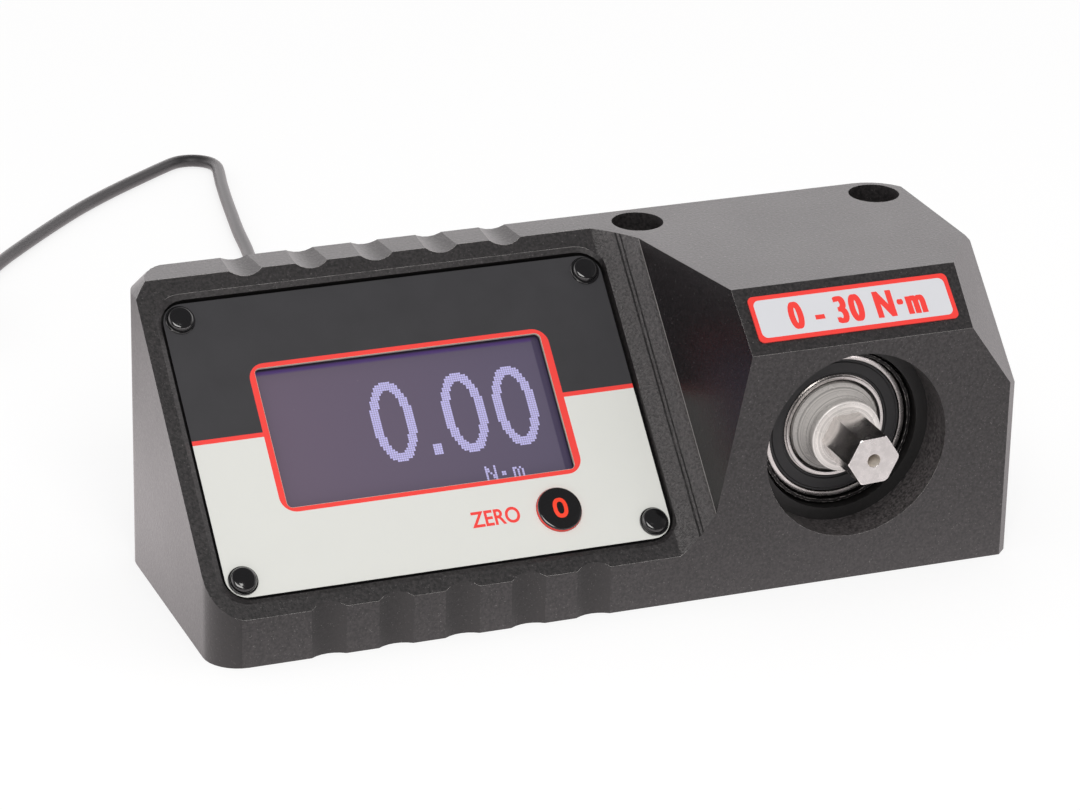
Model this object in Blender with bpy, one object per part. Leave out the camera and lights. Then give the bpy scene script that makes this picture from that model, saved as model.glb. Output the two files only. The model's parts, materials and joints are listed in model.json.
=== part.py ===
"""A bench torque tester: a machined block with a sloping display panel and a hexagonal drive.

Metres, +Z up. The block stands on the bench with its front facing -Y. The origin is the
middle of its footprint. Places on the block are measured from its left and front faces,
and places on the panel from the block's left face and up the slope from the slope's foot.
"""

import math

import bmesh
import bpy
from mathutils import Matrix, Vector

# Clearance between pieces that touch or slide
GAP = 0.0003

# Block; its length is the recess for the panel and the drive block beside it
DRIVE_BLOCK_LENGTH = 0.0756
BODY_DEPTH = 0.0615
BODY_HEIGHT = 0.0630
FRONT_LEFT_RADIUS = 0.0074
REAR_LEFT_RADIUS = 0.0076
REAR_RIGHT_RADIUS = 0.0110
FRONT_EDGE_CHAMFER = 0.0022
RIGHT_EDGE_CHAMFER = 0.0017
LEFT_EDGE_CHAMFER = 0.0026
LEFT_RIM_RADIUS = 0.0098
APRON_HEIGHT = 0.0105
LAND_DEPTH = 0.0079

# Recess for the panel: a flat, a hollow ramp and a cheek that leans away from it
RAMP_OVERLAP = 0.0003
RAMP_RUN = 0.0076
RAMP_RISE = 0.0060
RAMP_HOLLOW = 0.0004
CHEEK_LEAN = math.radians(15.5)

# Front edge of the drive block and the slanting facet on its corner
BLOCK_CHAMFER_DROP = 0.0102
BLOCK_CHAMFER_RUN = 0.0115
FACET_TOP_INSET = 0.0111
FACET_FRONT_INSET = 0.0117
FACET_FOOT_INSET = 0.0023
FACET_FOOT_HEIGHT = 0.0395

# Finger scallops along the top and the front edge
SCALLOP_COUNT = 5
SCALLOP_FIRST = 0.0241
SCALLOP_PITCH = 0.0142
SCALLOP_RADIUS = 0.0067
SCALLOP_TOP_DEPTH = 0.0010
SCALLOP_TOP_TILT = math.radians(2.4)
SCALLOP_FRONT_DEPTH = 0.0011

# Pocket for the panel and the hollow behind it
PANEL_LEFT = 0.0047
PANEL_FOOT = 0.0050
PANEL_TOP_BORDER = 0.0055
PANEL_CORNER = 0.0050
PANEL_THICKNESS = 0.0015
PANEL_SINK = 0.0010
PANEL_MARGIN = 0.0007
POCKET_EDGE_WIDTH = 0.0011
POCKET_EDGE_DEPTH = 0.0006
HATCH_BORDER = 0.0076
HATCH_FOOT = 0.0078
HATCH_RISE = 0.0544
SLOPE_WALL = 0.0060
FLOOR_THICKNESS = 0.0060
REAR_WALL = 0.0060
FRONT_WALL = 0.0080

# Panel fasteners, as places on the panel
RIVET_INSET = 0.0036
RIVET_HEAD_DIAMETER = 0.0066
RIVET_DOME_DIAMETER = 0.0056
RIVET_HEAD_HEIGHT = 0.0016
RIVET_SHANK_DIAMETER = 0.0030
RIVET_SHANK_LENGTH = 0.0040

# Display
WINDOW_LEFT_BORDER = 0.0163
WINDOW_RIGHT_BORDER = 0.0171
WINDOW_WIDTH = 0.0622
WINDOW_FOOT = 0.0225
WINDOW_RISE = 0.0309
GLASS_BORDER = 0.0022
GLASS_THICKNESS = 0.0022
BEZEL_BORDER = 0.0015
BEZEL_THICKNESS = 0.0035
BOARD_THICKNESS = 0.0016
BOARD_MARGIN = 0.0006
DISPLAY_PILLAR_DIAMETER = 0.0040
DISPLAY_PILLAR_INSET = 0.0028
DISPLAY_SCREW_DIAMETER = 0.0020
DISPLAY_SCREW_HEAD = 0.0036

# Zero button and its switch
BUTTON_INSET = 0.0231
BUTTON_UP = 0.0141
BUTTON_DIAMETER = 0.0096
BUTTON_PROUD = 0.0009
BUTTON_CROWN = 0.0006
BUTTON_FLANGE = 0.0010
BUTTON_FLANGE_THICKNESS = 0.0008
BUTTON_STEM_DIAMETER = 0.0030
BUTTON_TRAVEL = 0.0004
BUTTON_SPARE = 0.00015
SWITCH_SIDE = 0.0060
SWITCH_HEIGHT = 0.0030

# Main board in the hollow
MAIN_BOARD_LEFT = 0.0140
MAIN_BOARD_LENGTH = 0.0720
MAIN_BOARD_FRONT = 0.0190
MAIN_BOARD_ROOM = 0.0015
MAIN_BOARD_INSET = 0.0045
BOSS_HEIGHT = 0.0030
BOSS_DIAMETER = 0.0070
BOARD_SCREW_DIAMETER = 0.0030
BOARD_SCREW_HEAD = 0.0055
BOARD_SCREW_LENGTH = 0.0060

# Socket for the lead
SOCKET_ALONG = 0.0520
SOCKET_WIDTH = 0.0094
SOCKET_HEIGHT = 0.0036
SOCKET_DEPTH = 0.0110
SOCKET_WALL = 0.0004

# Drive opening, bearing and transducer, on the drive axis
AXIS_INSET = 0.0369
AXIS_HEIGHT = 0.0299
OPENING_DIAMETER = 0.0405
OPENING_DEPTH = 0.0085
SEAT_BORE_DIAMETER = 0.0352
SEAT_WALL = 0.0100
SLEEVE_FRONT = 0.0100
SLEEVE_BORE_DIAMETER = 0.0290
BEARING_OUTSIDE = 0.0320
BEARING_BORE = 0.0200
BEARING_WIDTH = 0.0070
BEARING_FRONT = 0.0107
OUTER_RACE_INSIDE = 0.0297
INNER_RACE_OUTSIDE = 0.0226
RACE_GROOVE_DEPTH = 0.0004
RACE_CHAMFER = 0.0004
SEAL_THICKNESS = 0.0008
SEAL_SINK = 0.0003
BALL_COUNT = 13
BALL_DIAMETER = 0.0035
CAGE_WALL = 0.0012
CAGE_WIDTH = 0.0022
HEX_ACROSS_FLATS = 0.0100
HEX_TURN = math.radians(3.15)
HEX_REACH = 0.0083
HEX_TIP_CHAMFER = 0.0003
TIP_HOLE_DIAMETER = 0.0029
TIP_HOLE_DEPTH = 0.0060
COLLAR_DIAMETER = 0.0156
COLLAR_FRONT = 0.0049
COLLAR_LENGTH = 0.0015
NECK_DIAMETER = 0.0150
FLARE_DIAMETER = 0.0189
FLARE_FRONT = 0.0105
SHOULDER_DIAMETER = 0.0225
SHOULDER_LENGTH = 0.0018
TANG_SIDE = 0.0110
TANG_LENGTH = 0.0080
COUPLING_DIAMETER = 0.0240
COUPLING_LENGTH = 0.0095
TORSION_DIAMETER = 0.0140
FLANGE_LENGTH = 0.0080
FILLET = 0.0020
FLANGE_SCREW_CIRCLE = 0.0240
FLANGE_SCREW_COUNT = 4
FLANGE_SCREW_DIAMETER = 0.0040
FLANGE_SCREW_HEAD_DIAMETER = 0.0070
FLANGE_SCREW_HEAD_HEIGHT = 0.0040
FLANGE_SCREW_SINK = 0.0050
FLANGE_SCREW_BITE = 0.0060
SCREW_KEY = 0.0030

# Wire passage from the transducer's waist to the hollow, below the display's board
PASSAGE_DIAMETER = 0.0060
PASSAGE_DROP = 0.0045
GAUGE_LEAD_DIAMETER = 0.0024
GAUGE_SOCKET_SIDE = 0.0060

# Bench fixing holes through the block
FIXING_SPACING = 0.0552
FIXING_RIGHT_INSET = 0.0092
FIXING_REAR_INSET = 0.0072
FIXING_HEAD_DIAMETER = 0.0110
FIXING_HEAD_DEPTH = 0.0070
FIXING_HOLE_DIAMETER = 0.0066

# Range label on the block's front edge
LABEL_RIGHT_INSET = 0.0140
LABEL_LENGTH = 0.0449
LABEL_FOOT = 0.0026
LABEL_WIDTH = 0.0105
LABEL_THICKNESS = 0.0003
LABEL_CORNER = 0.0012

# Lead, its plugs and its coil
LEAD_DIAMETER = 0.0032
PLUG_BODY = (0.0116, 0.0180, 0.0070)
PLUG_TONGUE = (0.0082, 0.0070, 0.0024)
RELIEF_LENGTH = 0.0120
RELIEF_ROOT = 0.0052
RELIEF_TIP = 0.0038
COIL_CENTRE = (-0.1120, 0.1720)
COIL_MIDDLE_RADIUS = 0.0184
COIL_WIDTH = 0.0128
COIL_HEIGHT = 0.0096
COIL_LIFT = 0.0010
TIE_WIDTH = 0.0044
TIE_THICKNESS = 0.0007
HOST_PLUG_BODY = (0.0160, 0.0240, 0.0082)
HOST_PLUG_SHELL = (0.0120, 0.0120, 0.0045)

# Along the block
PANEL_WIDTH = WINDOW_LEFT_BORDER + WINDOW_WIDTH + WINDOW_RIGHT_BORDER
RECESS_FLAT = PANEL_LEFT + PANEL_WIDTH - RAMP_OVERLAP
BODY_LENGTH = RECESS_FLAT + DRIVE_BLOCK_LENGTH
WINDOW_LEFT = PANEL_LEFT + WINDOW_LEFT_BORDER
BUTTON_ALONG = PANEL_LEFT + PANEL_WIDTH - BUTTON_INSET
HATCH_LEFT = PANEL_LEFT + HATCH_BORDER
HATCH_WIDTH = PANEL_WIDTH - 2 * HATCH_BORDER
AXIS_ALONG = BODY_LENGTH - AXIS_INSET
LABEL_LEFT = BODY_LENGTH - LABEL_RIGHT_INSET - LABEL_LENGTH
# The hollow takes both boards
HOLLOW_LEFT = min(HATCH_LEFT, MAIN_BOARD_LEFT - MAIN_BOARD_ROOM)
HOLLOW_RIGHT = max(HATCH_LEFT + HATCH_WIDTH, MAIN_BOARD_LEFT + MAIN_BOARD_LENGTH + MAIN_BOARD_ROOM)

# From front to rear
MAIN_BOARD_WIDTH = BODY_DEPTH - REAR_WALL - MAIN_BOARD_ROOM - MAIN_BOARD_FRONT
SEAT_BORE_END = BODY_DEPTH - SEAT_WALL
FIXING_BACK = BODY_DEPTH - FIXING_REAR_INSET
SLOPE_RUN = BODY_DEPTH - LAND_DEPTH
SLOPE_RISE = BODY_HEIGHT - APRON_HEIGHT
SLOPE_LENGTH = math.hypot(SLOPE_RUN, SLOPE_RISE)
PANEL_RISE = SLOPE_LENGTH - PANEL_FOOT - PANEL_TOP_BORDER
SLOPE_ANGLE = math.atan2(SLOPE_RISE, SLOPE_RUN)
SLOPE_FOOT = Vector((-BODY_LENGTH / 2, -BODY_DEPTH / 2, APRON_HEIGHT))
POCKET_DEPTH = PANEL_SINK + PANEL_THICKNESS + GAP
CUTTER_SPARE = 0.0050


def place(along, back, height):
    """A point measured from the block's left face, front face and base."""
    return Vector((along - BODY_LENGTH / 2, back - BODY_DEPTH / 2, height))


# Slope frame: X along the block, Y up the slope, Z off it
SLOPE_FRAME = Matrix.Translation(SLOPE_FOOT) @ Matrix.Rotation(SLOPE_ANGLE, 4, "X")
# Drive frame: local Z runs into the block, along +Y, from the front face
DRIVE_FRAME = Matrix.Translation(place(AXIS_ALONG, 0, AXIS_HEIGHT)) @ Matrix.Rotation(
    -math.pi / 2, 4, "X"
)


def material(name, colour, roughness, metallic=0.0):
    found = bpy.data.materials.get(name)
    if found:
        return found
    made = bpy.data.materials.new(name)
    made.use_nodes = True
    shader = made.node_tree.nodes["Principled BSDF"]
    shader.inputs["Base Color"].default_value = (*colour, 1)
    shader.inputs["Roughness"].default_value = roughness
    shader.inputs["Metallic"].default_value = metallic
    return made


def block_paint():
    return material("block_paint", (0.045, 0.042, 0.044), 0.45, 0.3)


def black_plastic():
    return material("black_plastic", (0.015, 0.015, 0.016), 0.25)


def steel():
    return material("bright_steel", (0.70, 0.68, 0.65), 0.2, 1.0)


def black_steel():
    return material("black_steel", (0.02, 0.02, 0.02), 0.3, 0.8)


def circuit_green():
    return material("circuit_board", (0.02, 0.16, 0.06), 0.4)


def collection(name):
    found = bpy.data.collections.get(name)
    if not found:
        found = bpy.data.collections.new(name)
        bpy.context.scene.collection.children.link(found)
    return found


def finish_mesh(name, bm, finish, frame=None, smooth=35):
    """Turns the bmesh into a named object; its origin stays at the frame's."""
    bmesh.ops.recalc_face_normals(bm, faces=bm.faces)
    mesh = bpy.data.meshes.new(name)
    bm.to_mesh(mesh)
    bm.free()
    made = bpy.data.objects.new(name, mesh)
    collection("tester").objects.link(made)
    if frame is not None:
        made.matrix_world = frame
    if finish:
        mesh.materials.append(finish)
    if smooth:
        mesh.shade_smooth()
        mesh.set_sharp_from_angle(angle=math.radians(smooth))
    return made


def as_cutter(obj):
    obj.hide_render = True
    obj.display_type = "WIRE"
    collection("tester").objects.unlink(obj)
    collection("cutters").objects.link(obj)
    return obj


def cut(target, cutter, operation="DIFFERENCE"):
    if not cutter.hide_render:
        as_cutter(cutter)
    modifier = target.modifiers.new(cutter.name, "BOOLEAN")
    modifier.operation = operation
    modifier.solver = "EXACT"
    modifier.object = cutter


def join(target, piece):
    cut(target, piece, "UNION")


def prism(outline, low, high):
    """Extrudes an outline in local X and Y from low to high along local Z."""
    bm = bmesh.new()
    foot = [bm.verts.new((x, y, low)) for x, y in outline]
    top = [bm.verts.new((x, y, high)) for x, y in outline]
    bm.faces.new(foot[::-1])
    bm.faces.new(top)
    count = len(outline)
    for i in range(count):
        j = (i + 1) % count
        bm.faces.new((foot[i], foot[j], top[j], top[i]))
    return bm


def arc(centre, radius, start, end, steps):
    """Points on an arc from start to end, in degrees, both ends included."""
    points = []
    for i in range(steps + 1):
        angle = math.radians(start + (end - start) * i / steps)
        x = centre[0] + radius * math.cos(angle)
        y = centre[1] + radius * math.sin(angle)
        points.append((x, y))
    return points


def rounded_box(left, foot, width, rise, radius, steps=6):
    """Outline of a rectangle with round corners, anticlockwise."""
    right, top = left + width, foot + rise
    outline = arc((right - radius, foot + radius), radius, -90, 0, steps)
    outline += arc((right - radius, top - radius), radius, 0, 90, steps)
    outline += arc((left + radius, top - radius), radius, 90, 180, steps)
    outline += arc((left + radius, foot + radius), radius, 180, 270, steps)
    return outline


def circle(radius, steps, centre=(0, 0), turn=0.0):
    points = []
    for i in range(steps):
        angle = turn + 2 * math.pi * i / steps
        points.append((centre[0] + radius * math.cos(angle), centre[1] + radius * math.sin(angle)))
    return points


def turned(profile, steps, ring=False):
    """Revolves (radius, height) points about local Z; ring closes the profile on itself."""
    bm = bmesh.new()
    rows = []
    for radius, height in profile:
        if radius == 0:
            rows.append([bm.verts.new((0, 0, height))])
            continue
        row = []
        for i in range(steps):
            angle = 2 * math.pi * i / steps
            row.append(bm.verts.new((radius * math.cos(angle), radius * math.sin(angle), height)))
        rows.append(row)
    pairs = list(zip(rows, rows[1:]))
    if ring:
        pairs.append((rows[-1], rows[0]))
    for first, second in pairs:
        for i in range(steps):
            j = (i + 1) % steps
            corners = [first[i % len(first)], first[j % len(first)]]
            corners += [second[j % len(second)], second[i % len(second)]]
            faces = list(dict.fromkeys(corners))
            if len(faces) > 2:
                bm.faces.new(faces)
    return bm


def disc(radius, low, high, steps):
    return turned([(0, low), (radius, low), (radius, high), (0, high)], steps)


def box(low, high):
    outline = [(low[0], low[1]), (high[0], low[1]), (high[0], high[1]), (low[0], high[1])]
    return prism(outline, low[2], high[2])


def at(point):
    return Matrix.Translation(Vector(point))


def body_outline():
    """Plan of the block: three round corners and one chamfered, front right."""
    half_x, half_y = BODY_LENGTH / 2, BODY_DEPTH / 2
    chamfer = FRONT_EDGE_CHAMFER
    outline = [(half_x - chamfer, -half_y), (half_x, -half_y + chamfer)]
    centre = (half_x - REAR_RIGHT_RADIUS, half_y - REAR_RIGHT_RADIUS)
    outline += arc(centre, REAR_RIGHT_RADIUS, 0, 90, 8)
    centre = (-half_x + REAR_LEFT_RADIUS, half_y - REAR_LEFT_RADIUS)
    outline += arc(centre, REAR_LEFT_RADIUS, 90, 180, 8)
    centre = (-half_x + FRONT_LEFT_RADIUS, -half_y + FRONT_LEFT_RADIUS)
    outline += arc(centre, FRONT_LEFT_RADIUS, 180, 270, 8)
    return outline


def recess_outline():
    """Cross-section of the cut that makes the slope, the ramp and the cheek."""
    reach = BODY_HEIGHT * 1.2
    left = -CUTTER_SPARE
    outline = [(left, reach), (left, 0), (RECESS_FLAT, 0)]
    chord = Vector((RAMP_RUN, RAMP_RISE))
    across = Vector((RAMP_RISE, -RAMP_RUN)).normalized()
    steps = 6
    for i in range(1, steps + 1):
        share = i / steps
        point = chord * share + across * (4 * RAMP_HOLLOW * share * (1 - share))
        outline.append((RECESS_FLAT + point.x, point.y))
    rise = reach - RAMP_RISE
    outline.append((outline[-1][0] + rise * math.tan(CHEEK_LEAN), reach))
    return outline


def plane_cutter(name, corner, normal, size):
    """A slab that removes everything in front of a plane through corner."""
    frame = Vector(normal).to_track_quat("Z", "Y").to_matrix().to_4x4()
    frame.translation = corner
    bm = box((-size, -size, 0), (size, size, size))
    return finish_mesh(name, bm, None, frame, smooth=0)


def cut_forms(housing):
    """The large planes: slope recess, front edge, corner facet and the right top edge."""
    bm = prism([(x, off) for x, off in recess_outline()], -BODY_HEIGHT, 2 * BODY_HEIGHT)
    # The outline's second axis stands off the slope, so its extrusion runs down the slope
    turn = SLOPE_FRAME @ Matrix.Rotation(math.pi / 2, 4, "X")
    bm.transform(Matrix.Scale(-1, 4, (0, 0, 1)))
    cut(housing, finish_mesh("recess_cutter", bm, None, turn, smooth=0))

    half_x, half_y = BODY_LENGTH / 2, BODY_DEPTH / 2
    reach = BLOCK_CHAMFER_RUN + CUTTER_SPARE
    fall = reach * BLOCK_CHAMFER_DROP / BLOCK_CHAMFER_RUN
    foot = BODY_HEIGHT - BLOCK_CHAMFER_DROP
    low = (-half_y - CUTTER_SPARE, foot - CUTTER_SPARE * BLOCK_CHAMFER_DROP / BLOCK_CHAMFER_RUN)
    high = (-half_y + reach, foot + fall)
    outline = [low, high, (low[0], high[1])]
    bm = prism(outline, RECESS_FLAT - half_x, half_x + CUTTER_SPARE)
    # Local X, Y and Z of the prism become the block's Y, Z and X
    turn = Matrix(((0, 0, 1, 0), (1, 0, 0, 0), (0, 1, 0, 0), (0, 0, 0, 1)))
    cut(housing, finish_mesh("front_edge_cutter", bm, None, turn, smooth=0))

    top = place(BODY_LENGTH - FACET_TOP_INSET, BLOCK_CHAMFER_RUN, BODY_HEIGHT)
    front = place(BODY_LENGTH - FACET_FRONT_INSET, 0, foot)
    base = place(BODY_LENGTH - FACET_FOOT_INSET, 0, FACET_FOOT_HEIGHT)
    normal = (base - front).cross(top - front).normalized()
    cut(housing, plane_cutter("facet_cutter", front, normal, BODY_HEIGHT))

    edge = place(BODY_LENGTH - RIGHT_EDGE_CHAMFER, BODY_DEPTH / 2, BODY_HEIGHT)
    cut(housing, plane_cutter("right_edge_cutter", edge, Vector((1, 0, 1)).normalized(), BODY_DEPTH))


def cut_left_edge(housing):
    """The left top edge's chamfer follows the rear corner and dies out behind it."""
    steps = 8
    foot_centre = (REAR_LEFT_RADIUS, BODY_DEPTH - REAR_LEFT_RADIUS)
    foot_line = [(0, -CUTTER_SPARE)] + arc(foot_centre, REAR_LEFT_RADIUS, 180, 90, steps)
    rim_line = [(LEFT_EDGE_CHAMFER, -CUTTER_SPARE)]
    for x, y in arc((0, 0), 1, 180, 90, steps):
        along = LEFT_RIM_RADIUS + x * (LEFT_RIM_RADIUS - LEFT_EDGE_CHAMFER)
        rim_line.append((along, BODY_DEPTH - LEFT_RIM_RADIUS + y * (LEFT_RIM_RADIUS + GAP)))
    bm = bmesh.new()
    rows = []
    for i, (foot, rim) in enumerate(zip(foot_line, rim_line)):
        # The cutter leaves the block before its far end
        clear = 2 * GAP * max(0, i - 1) / steps
        low = place(foot[0], foot[1] + clear, BODY_HEIGHT - LEFT_EDGE_CHAMFER)
        high = place(*rim, BODY_HEIGHT)
        below, above = low + (low - high) / 2, high + (high - low)
        outer = Vector((below.x, below.y, above.z))
        rows.append([bm.verts.new(point) for point in (below, above, outer)])
    for first, second in zip(rows, rows[1:]):
        for i in range(3):
            j = (i + 1) % 3
            bm.faces.new((first[i], first[j], second[j], second[i]))
    bm.faces.new(rows[0])
    bm.faces.new(rows[-1][::-1])
    bmesh.ops.triangulate(bm, faces=bm.faces)
    cut(housing, finish_mesh("left_edge_cutter", bm, None, smooth=0))


def cut_scallops(housing):
    for i in range(SCALLOP_COUNT):
        along = SCALLOP_FIRST + i * SCALLOP_PITCH
        # Each top scallop grows shallower towards the rear
        top = place(along, SLOPE_RUN, BODY_HEIGHT + SCALLOP_RADIUS - SCALLOP_TOP_DEPTH)
        bm = disc(SCALLOP_RADIUS, -LAND_DEPTH, 3 * LAND_DEPTH, 32)
        frame = at(top) @ Matrix.Rotation(SCALLOP_TOP_TILT - math.pi / 2, 4, "X")
        cut(housing, finish_mesh(f"top_scallop_{i + 1}", bm, None, frame))
        front = place(along, SCALLOP_FRONT_DEPTH - SCALLOP_RADIUS, -CUTTER_SPARE)
        bm = disc(SCALLOP_RADIUS, 0, 2 * APRON_HEIGHT + CUTTER_SPARE, 32)
        cut(housing, finish_mesh(f"front_scallop_{i + 1}", bm, None, at(front)))


def hollow_outline():
    """Side view of the hollow behind the slope: floor, rear wall and the slope's own wall."""
    rear = BODY_DEPTH / 2 - REAR_WALL
    front = -BODY_DEPTH / 2 + FRONT_WALL
    roof = APRON_HEIGHT - SLOPE_WALL / math.cos(SLOPE_ANGLE)

    def under_slope(y):
        return roof + (y + BODY_DEPTH / 2) * math.tan(SLOPE_ANGLE)

    return [
        (front, FLOOR_THICKNESS),
        (rear, FLOOR_THICKNESS),
        (rear, under_slope(rear)),
        (front, under_slope(front)),
    ]


def cut_pocket(housing):
    """The panel's pocket with its broken edge, the hatch under it and the hollow."""
    left, foot = PANEL_LEFT - PANEL_MARGIN, PANEL_FOOT - PANEL_MARGIN
    width, rise = PANEL_WIDTH + 2 * PANEL_MARGIN, PANEL_RISE + 2 * PANEL_MARGIN
    radius = PANEL_CORNER + PANEL_MARGIN
    bm = prism(rounded_box(left, foot, width, rise, radius), -POCKET_DEPTH, 2 * PANEL_THICKNESS)
    cut(housing, finish_mesh("pocket_cutter", bm, None, SLOPE_FRAME))

    # The broken edge runs along three sides and stops at the ramp
    spread = POCKET_EDGE_WIDTH * (1 + PANEL_SINK / POCKET_EDGE_DEPTH)
    bm = prism(rounded_box(left, foot, width, rise, radius), -POCKET_EDGE_DEPTH, PANEL_SINK)
    right, middle = left + width, foot + rise / 2
    for vertex in bm.verts:
        if vertex.co.z > 0:
            vertex.co.x = right + (vertex.co.x - right) * (1 + spread / width)
            vertex.co.y = middle + (vertex.co.y - middle) * (1 + 2 * spread / rise)
    bmesh.ops.triangulate(bm, faces=bm.faces)
    cut(housing, finish_mesh("pocket_edge_cutter", bm, None, SLOPE_FRAME))

    bm = prism(
        rounded_box(HATCH_LEFT, HATCH_FOOT, HATCH_WIDTH, HATCH_RISE, FILLET, 3),
        -SLOPE_WALL - CUTTER_SPARE,
        PANEL_THICKNESS,
    )
    cut(housing, finish_mesh("hatch_cutter", bm, None, SLOPE_FRAME, smooth=0))

    half_x = BODY_LENGTH / 2
    bm = prism(hollow_outline(), HOLLOW_LEFT - half_x, HOLLOW_RIGHT - half_x)
    turn = Matrix(((0, 0, 1, 0), (1, 0, 0, 0), (0, 1, 0, 0), (0, 0, 0, 1)))
    cut(housing, finish_mesh("hollow_cutter", bm, None, turn, smooth=0))


def drive_piece(name, profile, finish, steps=48, ring=False):
    """A turned piece on the drive axis; heights in the profile count from the front face."""
    return finish_mesh(name, turned(profile, steps, ring), finish, DRIVE_FRAME)


def drive_cutter(name, radius, low, high, steps=48):
    return finish_mesh(name, disc(radius, low, high, steps), None, DRIVE_FRAME)


def rivet_places():
    low_x, high_x = PANEL_LEFT + RIVET_INSET, PANEL_LEFT + PANEL_WIDTH - RIVET_INSET
    low_s, high_s = PANEL_FOOT + RIVET_INSET, PANEL_FOOT + PANEL_RISE - RIVET_INSET
    return [(low_x, high_s), (low_x, low_s), (high_x, low_s), (high_x, high_s)]


def flange_screw_places():
    turn = math.pi / FLANGE_SCREW_COUNT
    return circle(FLANGE_SCREW_CIRCLE / 2, FLANGE_SCREW_COUNT, turn=turn)


def fixing_places():
    right = BODY_LENGTH - FIXING_RIGHT_INSET
    return [(right - FIXING_SPACING, FIXING_BACK), (right, FIXING_BACK)]


def cut_holes(housing):
    cut(housing, drive_cutter("opening_cutter", OPENING_DIAMETER / 2, -CUTTER_SPARE, OPENING_DEPTH, 64))
    cut(housing, drive_cutter("seat_cutter", SEAT_BORE_DIAMETER / 2, 0, SEAT_BORE_END))

    for i, (x, z) in enumerate(flange_screw_places()):
        shaft = FLANGE_SCREW_DIAMETER / 2 + GAP
        head = FLANGE_SCREW_HEAD_DIAMETER / 2 + GAP
        shelf = BODY_DEPTH - FLANGE_SCREW_SINK
        profile = [(0, SEAT_BORE_END - FILLET), (shaft, SEAT_BORE_END - FILLET), (shaft, shelf)]
        profile += [(head, shelf), (head, BODY_DEPTH + FILLET), (0, BODY_DEPTH + FILLET)]
        frame = DRIVE_FRAME @ at((x, z, 0))
        cut(housing, finish_mesh(f"screw_cutter_{i + 1}", turned(profile, 16), None, frame))

    for i, (along, back) in enumerate(fixing_places()):
        shaft, head = FIXING_HOLE_DIAMETER / 2, FIXING_HEAD_DIAMETER / 2
        shelf = BODY_HEIGHT - FIXING_HEAD_DEPTH
        profile = [(0, -CUTTER_SPARE), (shaft, -CUTTER_SPARE), (shaft, shelf), (head, shelf)]
        profile += [(head, BODY_HEIGHT + CUTTER_SPARE), (0, BODY_HEIGHT + CUTTER_SPARE)]
        bm = turned(profile, 32)
        cut(housing, finish_mesh(f"fixing_cutter_{i + 1}", bm, None, at(place(along, back, 0))))

    shank = RIVET_SHANK_DIAMETER / 2 + GAP
    for i, (along, up) in enumerate(rivet_places()):
        depth = POCKET_DEPTH + RIVET_SHANK_LENGTH
        bm = disc(shank, -depth, -PANEL_SINK, 12)
        frame = SLOPE_FRAME @ at((along, up, 0))
        cut(housing, finish_mesh(f"rivet_cutter_{i + 1}", bm, None, frame))

    wide = SOCKET_WIDTH + 2 * GAP
    tall = SOCKET_HEIGHT + 2 * GAP
    bm = prism(rounded_box(-wide / 2, -tall / 2, wide, tall, tall / 3, 3), -FILLET, REAR_WALL + FILLET)
    frame = at(socket_place()) @ Matrix.Rotation(math.pi / 2, 4, "X")
    cut(housing, finish_mesh("socket_cutter", bm, None, frame))

    bm = disc(PASSAGE_DIAMETER / 2, -FILLET, AXIS_ALONG - HOLLOW_RIGHT, 16)
    frame = at(passage_place()) @ Matrix.Rotation(math.pi / 2, 4, "Y")
    cut(housing, finish_mesh("passage_cutter", bm, None, frame))


def main_board_top():
    return FLOOR_THICKNESS + BOSS_HEIGHT + GAP + BOARD_THICKNESS


def socket_place():
    """Middle of the socket's mouth, on the rear face."""
    height = main_board_top() + GAP + SOCKET_HEIGHT / 2
    return place(SOCKET_ALONG, BODY_DEPTH, height)


def passage_place():
    """Where the wire passage leaves the hollow: level with the waist, below the display's board."""
    back = (coupling_end() + flange_front()) / 2
    under = display_levels()[2] - BOARD_THICKNESS
    roof = APRON_HEIGHT + back * math.tan(SLOPE_ANGLE) + under / math.cos(SLOPE_ANGLE)
    return place(HOLLOW_RIGHT, back, roof - PASSAGE_DROP)


def main_board_corners():
    low_x = MAIN_BOARD_LEFT + MAIN_BOARD_INSET
    high_x = MAIN_BOARD_LEFT + MAIN_BOARD_LENGTH - MAIN_BOARD_INSET
    low_y = MAIN_BOARD_FRONT + MAIN_BOARD_INSET
    high_y = MAIN_BOARD_FRONT + MAIN_BOARD_WIDTH - MAIN_BOARD_INSET
    return [(low_x, low_y), (high_x, low_y), (high_x, high_y), (low_x, high_y)]


def add_bosses(housing):
    """Bosses that carry the main board, each with its screw hole."""
    for i, (along, back) in enumerate(main_board_corners()):
        hole = BOARD_SCREW_DIAMETER / 2 + GAP
        foot, top = FLOOR_THICKNESS - FILLET, FLOOR_THICKNESS + BOSS_HEIGHT
        bm = disc(BOSS_DIAMETER / 2, foot, top, 16)
        join(housing, finish_mesh(f"boss_{i + 1}", bm, None, at(place(along, back, 0))))
        depth = top + FILLET - BOARD_SCREW_LENGTH
        bm = disc(hole, depth - GAP, top + FILLET, 12)
        cut(housing, finish_mesh(f"boss_hole_{i + 1}", bm, None, at(place(along, back, 0))))


def make_housing():
    bm = prism(body_outline(), 0, BODY_HEIGHT)
    housing = finish_mesh("housing", bm, block_paint(), smooth=0)
    cut_forms(housing)
    cut_left_edge(housing)
    cut_scallops(housing)
    cut_pocket(housing)
    add_bosses(housing)
    cut_holes(housing)


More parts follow.
